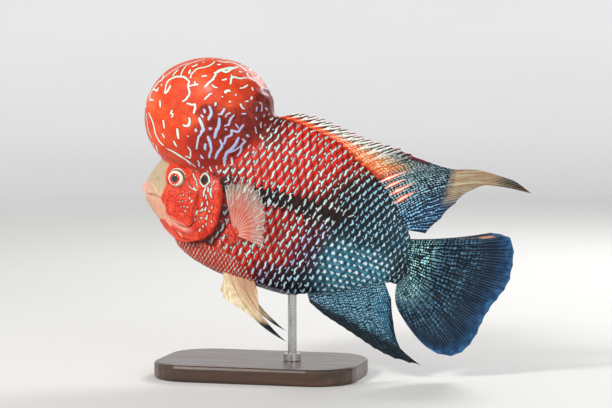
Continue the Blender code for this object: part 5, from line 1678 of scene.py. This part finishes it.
def dorsal_material(trees):
    """Orange-red with pale spines in front, then cream dots, navy behind and a cream and black plume."""
    made, n, shader, place, dotted, lined = fin_material("dorsal_fin_finish", trees)
    r, along, t, ridge, wide, rest = place
    s = n.parts(rest)[0]
    mottle = n.noise(rest, 0.25, 3.0)
    waver = t + (mottle - 0.5) * 0.4
    fore = waver.ramp([(0.0, "7c120c"), (0.06, "c02814"), (0.16, "ea5026"), (0.38, "cc4c24"),
                       (0.52, "5a1c12"), (0.62, "100c10"), (0.88, "140c10"), (0.95, "8e1c28"),
                       (1.0, "a02a34")])
    middle = waver.ramp([(0.0, "9c2212"), (0.1, "d05a28"), (0.36, "cc6428"), (0.55, "8c6238"),
                         (0.72, "46524e"), (0.85, "1c2830"), (0.94, "3c1420"), (1.0, "7c1c2c")])
    rear = mottle.ramp([(0.3, "0a121e"), (0.5, "142636"), (0.7, "21404f")])
    colour = n.blend(r.rise(8.0, 11.5), fore, middle)
    colour = n.blend((r + (mottle - 0.5) * 3.0).rise(13.8, 16.2), colour, rear)
    spines = ridge.rise(0.12, 0.5) * r.rise(14.0, 11.0)
    spine_tone = n.blend(waver.rise(0.15, 0.5), "f58a50", "f0eee4")
    colour = n.blend(spines * n.noise(rest, 0.5, 2.0).rise(0.3, 0.5, 0.3, 1.0), colour, spine_tone)
    cream_dots = dotted(3.0, 2.3, 0.8, 4.0)
    field = r.rise(5.0, 8.0) * r.rise(17.5, 15.5) * (t.rise(0.08, 0.2) * t.rise(0.95, 0.8))
    dot_tone = n.blend(t.rise(0.3, 0.75), "efd9b4", "b9c4bc")
    colour = n.blend(cream_dots * (field * 0.85), colour, dot_tone)
    blue_dots = dotted(2.0, 2.3, 0.85, 2.0)
    plume = (s + (mottle - 0.5) * 10.0).rise(221.0, 230.0)
    behind = r.rise(15.0, 17.0) * (1 - plume)
    colour = n.blend(blue_dots * behind, colour, n.blend(r.rise(20.0, 26.0), "a8cbd0", "82b6dc"))
    second_ray = n.math("ROUND", r * 0.5) * 2.0
    reach = n.chance(second_ray, 3.0).rise(0.0, 1.0, 20.0, 31.0)
    chosen = r.rise(15.0, 15.2) * r.rise(23.0, 22.8)
    taper = along.rise(reach, 6.0) * along.rise(1.5, 7.0, 0.4, 1.0)
    frayed = (n.noise(rest, 0.9, 2.0) - 0.5) * 2.2
    off_ray = abs(r - second_ray) * wide + frayed
    outer = chosen * (off_ray - taper * 2.0).rise(0.2, -0.4)
    core = chosen * (off_ray - taper * 0.9).rise(0.2, -0.4)
    colour = n.blend(outer * taper.rise(0.0, 0.15), colour, "e65a24")
    colour = n.blend(core * taper.rise(0.1, 0.3), colour, "f8ece0")
    cream_lines = lined(5.0, 0.6)
    far = s.rise(250.0, 266.0)
    plume_ground = n.blend(far, n.blend(mottle, "5e5040", "9a8868"), "0c0e12")
    plume_line = n.blend(n.noise(n.join(r, along * 0.04, 0.0), 1.3, 2.0).rise(0.42, 0.58), "e2d6b4",
                         "cf9c7a")
    feather = n.blend(cream_lines * far.rise(0.0, 1.0, 0.9, 0.55), plume_ground, plume_line)
    edge = r.rise(25.2, 26.4)
    feather = n.blend(edge, feather, "10263c")
    colour = n.blend(plume, colour, feather)
    soft_rays = ridge.rise(0.5, 0.9) * r.rise(15.0, 17.0)
    colour = n.blend(soft_rays * ((1 - plume) * ((1 - outer) * 0.7)), colour, "060c14")
    hem = lined(4.0, 0.5) * r.rise(24.5, 26.5)
    colour = n.blend(hem * t.rise(0.3, 0.6) * 0.75, colour, "6f9fd6")
    relief = cream_dots * field + blue_dots * behind
    finish_fin(n, shader, colour, relief, ridge, rest)
    return made


def caudal_material(trees):
    """Navy-black with cyan dashes at the root, blue dots in the middle, fine pale rays and a blue rim."""
    made, n, shader, place, dotted, lined = fin_material("caudal_fin_finish", trees)
    r, along, t, ridge, _, rest = place
    mottle = n.noise(rest, 0.22, 3.0)
    ground = (t + (mottle - 0.5) * 0.3).ramp([(0.0, "08141c"), (0.2, "07101a"), (0.6, "0a1420"),
                                              (0.85, "0e2036"), (0.95, "1a3c60"), (1.0, "2f5f8c")])
    dashes = dotted(2.0, 2.0, 0.75, 3.0)
    near = (t + (mottle - 0.5) * 0.5).rise(0.42, 0.2) * mottle.rise(0.36, 0.46)
    colour = n.blend(dashes * near, ground, n.blend(mottle.rise(0.4, 0.6), "6fb4c8", "b4ece8"))
    spots = dotted(2.0, 2.8, 0.95, 0.8)
    mid = t.rise(0.22, 0.34) * t.rise(0.8, 0.6) * mottle.rise(0.38, 0.6, 0.35, 1.0)
    colour = n.blend(spots * mid, colour, "4a7896")
    fine = lined(4.0, 0.42)
    outer = t.rise(0.42, 0.62) * n.noise(n.join(r, along * 0.05, 0.0), 1.6, 2.0).rise(0.36, 0.62, 0.25, 1.0)
    colour = n.blend(fine * (outer * 0.5), colour, n.blend(r.rise(2.0, 0.8), "4f7288", "a5968c"))
    low = lined(2.0, 0.4)
    lower = r.rise(8.5, 11.0) * t.rise(0.5, 0.34)
    colour = n.blend(low * (lower * 0.65), colour, "6f9aa6")
    rays = ridge.rise(0.45, 0.85)
    colour = n.blend(rays * t.rise(0.7, 0.4, 0.0, 0.7), colour, "05090e")
    peach = r.rise(0.9, 1.15) * r.rise(1.7, 1.45) * (t.rise(0.72, 0.8) * t.rise(0.93, 0.86))
    colour = n.blend(peach * 0.8, colour, "d39a7c")
    finish_fin(n, shader, colour, dashes * near + spots * mid, ridge, rest)
    return made


def anal_material(trees):
    """Teal with small pale dots in wavy rows, a black tip and bright blue rear rays."""
    made, n, shader, place, dotted, lined = fin_material("anal_fin_finish", trees)
    r, _, t, ridge, _, rest = place
    mottle = n.noise(rest, 0.2, 3.0)
    ragged = t + (mottle - 0.5) * 0.4
    tip = (ragged - r.rise(9.0, 15.0) * 0.15).rise(0.5, 0.72)
    ground = mottle.ramp([(0.3, "082434"), (0.5, "123c50"), (0.7, "245e78")])
    fore = r.rise(5.0, 0.5)
    ground = n.blend(fore * 0.6, ground, "3c2f4c")
    colour = n.blend(tip, ground, "060a0f")
    spots = dotted(3.0, 2.0, 0.65, 2.0)
    colour = n.blend(spots * tip.rise(0.0, 1.0, 0.95, 0.1), colour, "8fc3d6")
    fine = lined(2.0, 0.8)
    blue = fine * r.rise(11.5, 13.5) * t.rise(0.2, 0.35)
    colour = n.blend(blue * t.rise(1.0, 0.7, 0.4, 0.9), colour, "3f86b4")
    rays = ridge.rise(0.5, 0.9)
    colour = n.blend(rays * 0.6, colour, "081a26")
    tips = lined(4.0, 0.3) * tip * 0.35
    colour = n.blend(tips, colour, "31485a")
    finish_fin(n, shader, colour, spots * (1 - tip), ridge, rest)
    return made


def pelvic_material(trees):
    """Cream with fine orange and grey lines along the rays and a black trailing end."""
    made, n, shader, place, _, lined = fin_material("pelvic_fin_finish", trees)
    r, along, t, ridge, _, rest = place
    mottle = n.noise(rest, 0.25, 3.0)
    ground = mottle.ramp([(0.3, "c9b48f"), (0.5, "ddcba6"), (0.7, "eee2c4")])
    orange = lined(5.0, 0.45)
    colour = n.blend(orange * mottle.rise(0.3, 0.6, 0.35, 0.85), ground, "cf7a4c")
    grey = lined(5.0, 0.34, 0.11)
    colour = n.blend(grey * (t + r * 0.12).rise(0.2, 0.8, 0.25, 0.8), colour, "4a4640")
    end = (along + (mottle - 0.5) * 16.0).rise(42.0, 54.0)
    trail = end * r.rise(3.0, 1.6)
    thread = n.blend(n.most(ridge, mottle.rise(0.5, 0.7)), "0a0e14", "3c4e60")
    colour = n.blend(trail, colour, thread)
    root = along.rise(7.0, 2.0)
    colour = n.blend(root * 0.7, colour, "b2402c")
    finish_fin(n, shader, colour, orange, ridge, rest)
    return made


def pectoral_material(trees):
    """A clear pinkish membrane between cream rays, greyer towards its lower rear part."""
    made, n, shader, place, _, lined = fin_material("pectoral_fin_finish", trees)
    r, _, t, ridge, _, rest = place
    mottle = n.noise(rest, 0.3, 3.0)
    leading = r.rise(0.6, 0.15)
    rays = n.most(ridge.rise(0.66, 0.98), leading)
    fine = lined(5.0, 0.28)
    membrane = n.blend(t.rise(0.4, 0.9), "de4e34", n.blend(r.rise(4.0, 9.0), "d8b0a2", "dcbfb4"))
    colour = n.blend(fine * 0.6, membrane, "f2e6d6")
    ray_tone = n.blend(t.rise(0.2, 0.7), "e0633f", n.blend(mottle, "d9bfa6", "f2e8da"))
    colour = n.blend(rays, colour, ray_tone)
    clear = t.ramp([(place, (grey, grey, grey, 1)) for place, grey in MEMBRANE_CLEAR])
    n.feed(shader.inputs["Alpha"], n.most(rays * 0.8, n.most(fine * 0.42, clear)))
    finish_fin(n, shader, colour, rays, ridge, rest)
    return made


def lobe_material(flesh):
    """The skin's red over the fleshy pad, with a dark purple spot and a few pale dots."""
    made, n, shader = new_material("pectoral_lobe_finish")
    rest = n.attribute("rest")
    a, b, c, d = (n.attribute("zone_" + k) for k in "abcd")
    ground = n.group(flesh, Rest=rest, A=a, B=b, C=c, D=d)["Colour"]
    s, _, h = n.parts(rest)
    across, above = (s - LOBE_SPOT[0], h - LOBE_SPOT[1])
    away = n.root(across * across + above * above)
    ragged = (n.noise(rest, 0.45, 3.0) - 0.5) * 5.0
    blotch = n.noise(rest, 0.5, 3.0)
    colour = n.blend(blotch.rise(0.4, 0.6), "8e1a14", "dc4a30")
    colour = n.blend(0.3, colour, ground)
    colour = n.blend((away + ragged).rise(3.0, 1.4, 0.0, 0.9), colour, "2a0a1c")
    turn = n.math("ARCTAN2", h - PECTORAL_CENTRE[1], s - PECTORAL_CENTRE[0])
    folds = n.math("SINE", turn * 9.0 + blotch * 14.0)
    off_centre = abs(s - PECTORAL_CENTRE[0]) + abs(h - PECTORAL_CENTRE[1])
    folds = folds * off_centre.rise(2.0, 5.0)
    colour = n.blend(folds.rise(0.3, 1.0, 0.0, 0.28), colour, "ee8a62")
    dots = n.cells(rest, 0.5).rise(0.24, 0.1)
    colour = n.blend(dots * 0.45, colour, "ead0c2")
    n.feed(shader.inputs["Base Color"], colour)
    grain = skin_grain(n, shader, rest, 1.6)
    n.feed(shader.inputs["Normal"], n.bump(grain + dots * 0.5 + folds * 0.4, 0.6, 0.0006))
    shader.inputs["Specular IOR Level"].default_value = 0.25
    return made


def eye_material():
    """Rings by the angle from where the eye looks: pupil, red iris, cream, olive and white, lilac ball."""
    made, n, shader = new_material("eyeball_finish")
    place = n.attribute("eye_place")
    x, y, z = n.parts(place)
    across = (x * math.cos(PUPIL_TILT) + y * math.sin(PUPIL_TILT)) * PUPIL_STRETCH
    upward = y * math.cos(PUPIL_TILT) - x * math.sin(PUPIL_TILT)
    out = n.root(across * across + upward * upward)
    angle = n.math("ARCTAN2", out, z) * (180 / math.pi)
    ragged = (n.noise(place, 0.5, 3.0) - 0.5) * 7.0
    angle = angle + ragged
    fibres = n.noise(n.join(n.math("ARCTAN2", y, x) * 6.0, angle * 0.06, 0.0), 1.0, 3.0)
    iris = fibres.ramp([(0.3, "7a0a06"), (0.5, "c81c0e"), (0.7, "ee4a22")])
    ring = fibres.ramp([(0.3, "e2d2b0"), (0.6, "f6eede")])
    colour = n.blend(angle.rise(21.0, 23.5), "06181c", iris)
    colour = n.blend(angle.rise(34.0, 36.0), colour, ring)
    high = y.rise(-1.0, 2.5)
    colour = n.blend(angle.rise(50.0, 54.0) * high.rise(0.0, 1.0, 0.45, 1.0), colour, "5c4a1e")
    colour = n.blend(angle.rise(64.0, 67.0), colour, n.blend(high, "d7b8a4", "ece9e0"))
    colour = n.blend(angle.rise(78.0, 84.0), colour, "a9a6bd")
    n.feed(shader.inputs["Base Color"], colour)
    n.feed(shader.inputs["Roughness"], fibres.rise(0.3, 0.7, 0.25, 0.45))
    n.feed(shader.inputs["Normal"], n.bump(fibres, 0.3, 0.0003))
    return made


def cover_material():
    """The clear layer over the eyeball; shadow rays pass through it."""
    made, n, shader = new_material("eye_cover_finish")
    place = n.attribute("eye_place")
    n.feed(shader.inputs["Base Color"], n.blend(n.noise(place, 0.6, 2.0), "f6f8f8", "ffffff"))
    shadow = n.out("ShaderNodeLightPath", "Is Shadow Ray")
    n.feed(shader.inputs["Alpha"], 1.0 - shadow * 0.9)
    n.feed(shader.inputs["Roughness"], n.noise(place, 1.2, 2.0).rise(0.3, 0.7, 0.0, 0.03))
    shader.inputs["Transmission Weight"].default_value = 1.0
    shader.inputs["IOR"].default_value = 1.34
    return made


# Camera, light and floor

def add_camera():
    """The photo's camera, CAMERA_DISTANCE from the point that the middle of the picture shows."""
    level, lift = math.cos(CAMERA_RISE), math.sin(CAMERA_RISE)
    back = np.array([math.sin(CAMERA_TURN) * level, -math.cos(CAMERA_TURN) * level, lift])
    right = np.array([math.cos(CAMERA_TURN), math.sin(CAMERA_TURN), 0.0])
    up = np.cross(back, right)
    aside, above = (PICTURE_CENTRE[k] - SNOUT_PIXEL[k] for k in (0, 1))
    target = pose(np.zeros(3)) / MM + right * aside * PIXEL - up * above * PIXEL
    place = (target + back * CAMERA_DISTANCE) * MM
    lens = bpy.data.cameras.new("camera")
    lens.sensor_width = SENSOR_WIDTH
    lens.lens = SENSOR_WIDTH * (CAMERA_DISTANCE / PIXEL) / PICTURE_WIDTH
    camera = linked("camera", lens)
    camera.matrix_world = Matrix([[right[k], up[k], back[k], place[k]] for k in range(3)] + [[0, 0, 0, 1]])
    bpy.context.scene.camera = camera


def studio():
    """Pale floor that rises into a round wall far out, with soft key, fill and rim lights."""
    radius, height = (column[:, None] for column in np.array(FLOOR_PROFILE).T)
    turn = turns(FLOOR_SIDES)[None, :]
    across, ahead, up = np.broadcast_arrays(radius * np.cos(turn), radius * np.sin(turn), height)
    bowl = np.stack([across, ahead, up], -1)
    floor = make_object("floor", bowl.reshape(-1, 3), grid_faces(*up.shape, True))
    made, n, shader = new_material("floor_paint")
    place = n.out("ShaderNodeTexCoord", "Object")
    n.feed(shader.inputs["Base Color"], n.blend(n.noise(place, 3.0, 4.0), "d2d1ce", "dad9d6"))
    shader.inputs["Roughness"].default_value = 0.7
    glow = n.vector("LENGTH", place).rise(0.9, 3.6, 0.02, 0.42)
    n.feed(shader.inputs["Emission Color"], n.blend(glow, "000000", "f2f3f6"))
    shader.inputs["Emission Strength"].default_value = 1.0
    floor.data.materials.append(made)
    world = bpy.data.worlds.new("studio")
    bpy.context.scene.world = world
    world.use_nodes = True
    background = world.node_tree.nodes["Background"]
    background.inputs[0].default_value = SKY_COLOUR
    background.inputs[1].default_value = SKY_STRENGTH
    for name, place, size, power, colour in LIGHTS:
        lamp = bpy.data.lights.new(name, "AREA")
        lamp.shape, lamp.size, lamp.energy, lamp.color = ("DISK", size, power, colour)
        light = linked(name, lamp)
        light.location = place
        light.rotation_euler = (Vector(LIGHT_AIM) - Vector(place)).to_track_quat("-Z", "Y").to_euler()


def stand_materials():
    """Dark wood grain along the base, and brushed steel round the rod."""
    wood, n, shader = new_material("stand_wood_finish")
    place = n.out("ShaderNodeTexCoord", "Object")
    grain = n.noise(n.vector("MULTIPLY", place, (14.0, 160.0, 160.0)), 1.0, 4.0, 0.6)
    n.feed(shader.inputs["Base Color"], grain.ramp([(0.3, "2a1a10"), (0.6, "4a2e1c"), (0.8, "5c3b25")]))
    n.feed(shader.inputs["Roughness"], grain.rise(0.3, 0.7, 0.28, 0.42))
    n.feed(shader.inputs["Normal"], n.bump(grain, 0.2, 0.0003))
    shader.inputs["Coat Weight"].default_value = 0.3
    steel, n, shader = new_material("stand_steel_finish")
    place = n.out("ShaderNodeTexCoord", "Object")
    brush = n.noise(n.vector("MULTIPLY", place, (300.0, 300.0, 4000.0)), 1.0, 2.0)
    n.feed(shader.inputs["Base Color"], brush.ramp([(0.3, "a8a8a6"), (0.7, "c6c6c4")]))
    n.feed(shader.inputs["Roughness"], brush.rise(0.3, 0.7, 0.22, 0.36))
    shader.inputs["Metallic"].default_value = 1.0
    for node, finish in (("stand_base", wood), ("stand_rod", steel)):
        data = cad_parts[node].data
        data.materials.clear()
        data.materials.append(finish)


# Build

flesh = flesh_group()
skin_finish = skin_material(flesh)
scale_finish = scale_material(flesh, pearl_group())

body_skin = skin(skin_finish)
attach(body_skin, "root")
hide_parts("head", "lower_jaw", "nuchal_hump", "torso", "tail", "gill_cover_left",
            "gill_cover_right")

tables = arc_table()
for side in SIDES.values():
    coat = scale_coat(side, scale_finish, tables)
    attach(coat, "root")

trees = (dot_group(), line_group())
for piece, node in ((dorsal_fin(dorsal_material(trees)), "dorsal_fin"),
                    (anal_fin(anal_material(trees)), "anal_fin"),
                    (caudal_fin(caudal_material(trees)), "caudal_fin")):
    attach(piece, "root")
    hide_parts(node)

pelvic_finish, pectoral_finish = pelvic_material(trees), pectoral_material(trees)
lobe_finish = lobe_material(flesh)
ball_finish, cover_finish = eye_material(), cover_material()
for word in SIDES:
    for piece, node, slot in ((pelvic_fin(word, pelvic_finish), "pelvic_fin_", "pale_fin"),
                              (pectoral_fin(word, pectoral_finish), "pectoral_fin_", "pale_fin"),
                              (pectoral_lobe(word, lobe_finish), "pectoral_fin_", "pale_fin"),
                              (eye_shell("eyeball_" + word, word, ball_radius, ball_finish), "eye_", "eye"),
                              (eye_shell("eye_cover_" + word, word, cover_radius, cover_finish),
                               "eye_", "eye")):
        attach(piece, "root")
        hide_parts(node + word)

stand_materials()
add_camera()
studio()
bpy.context.scene.view_settings.view_transform = "Standard"
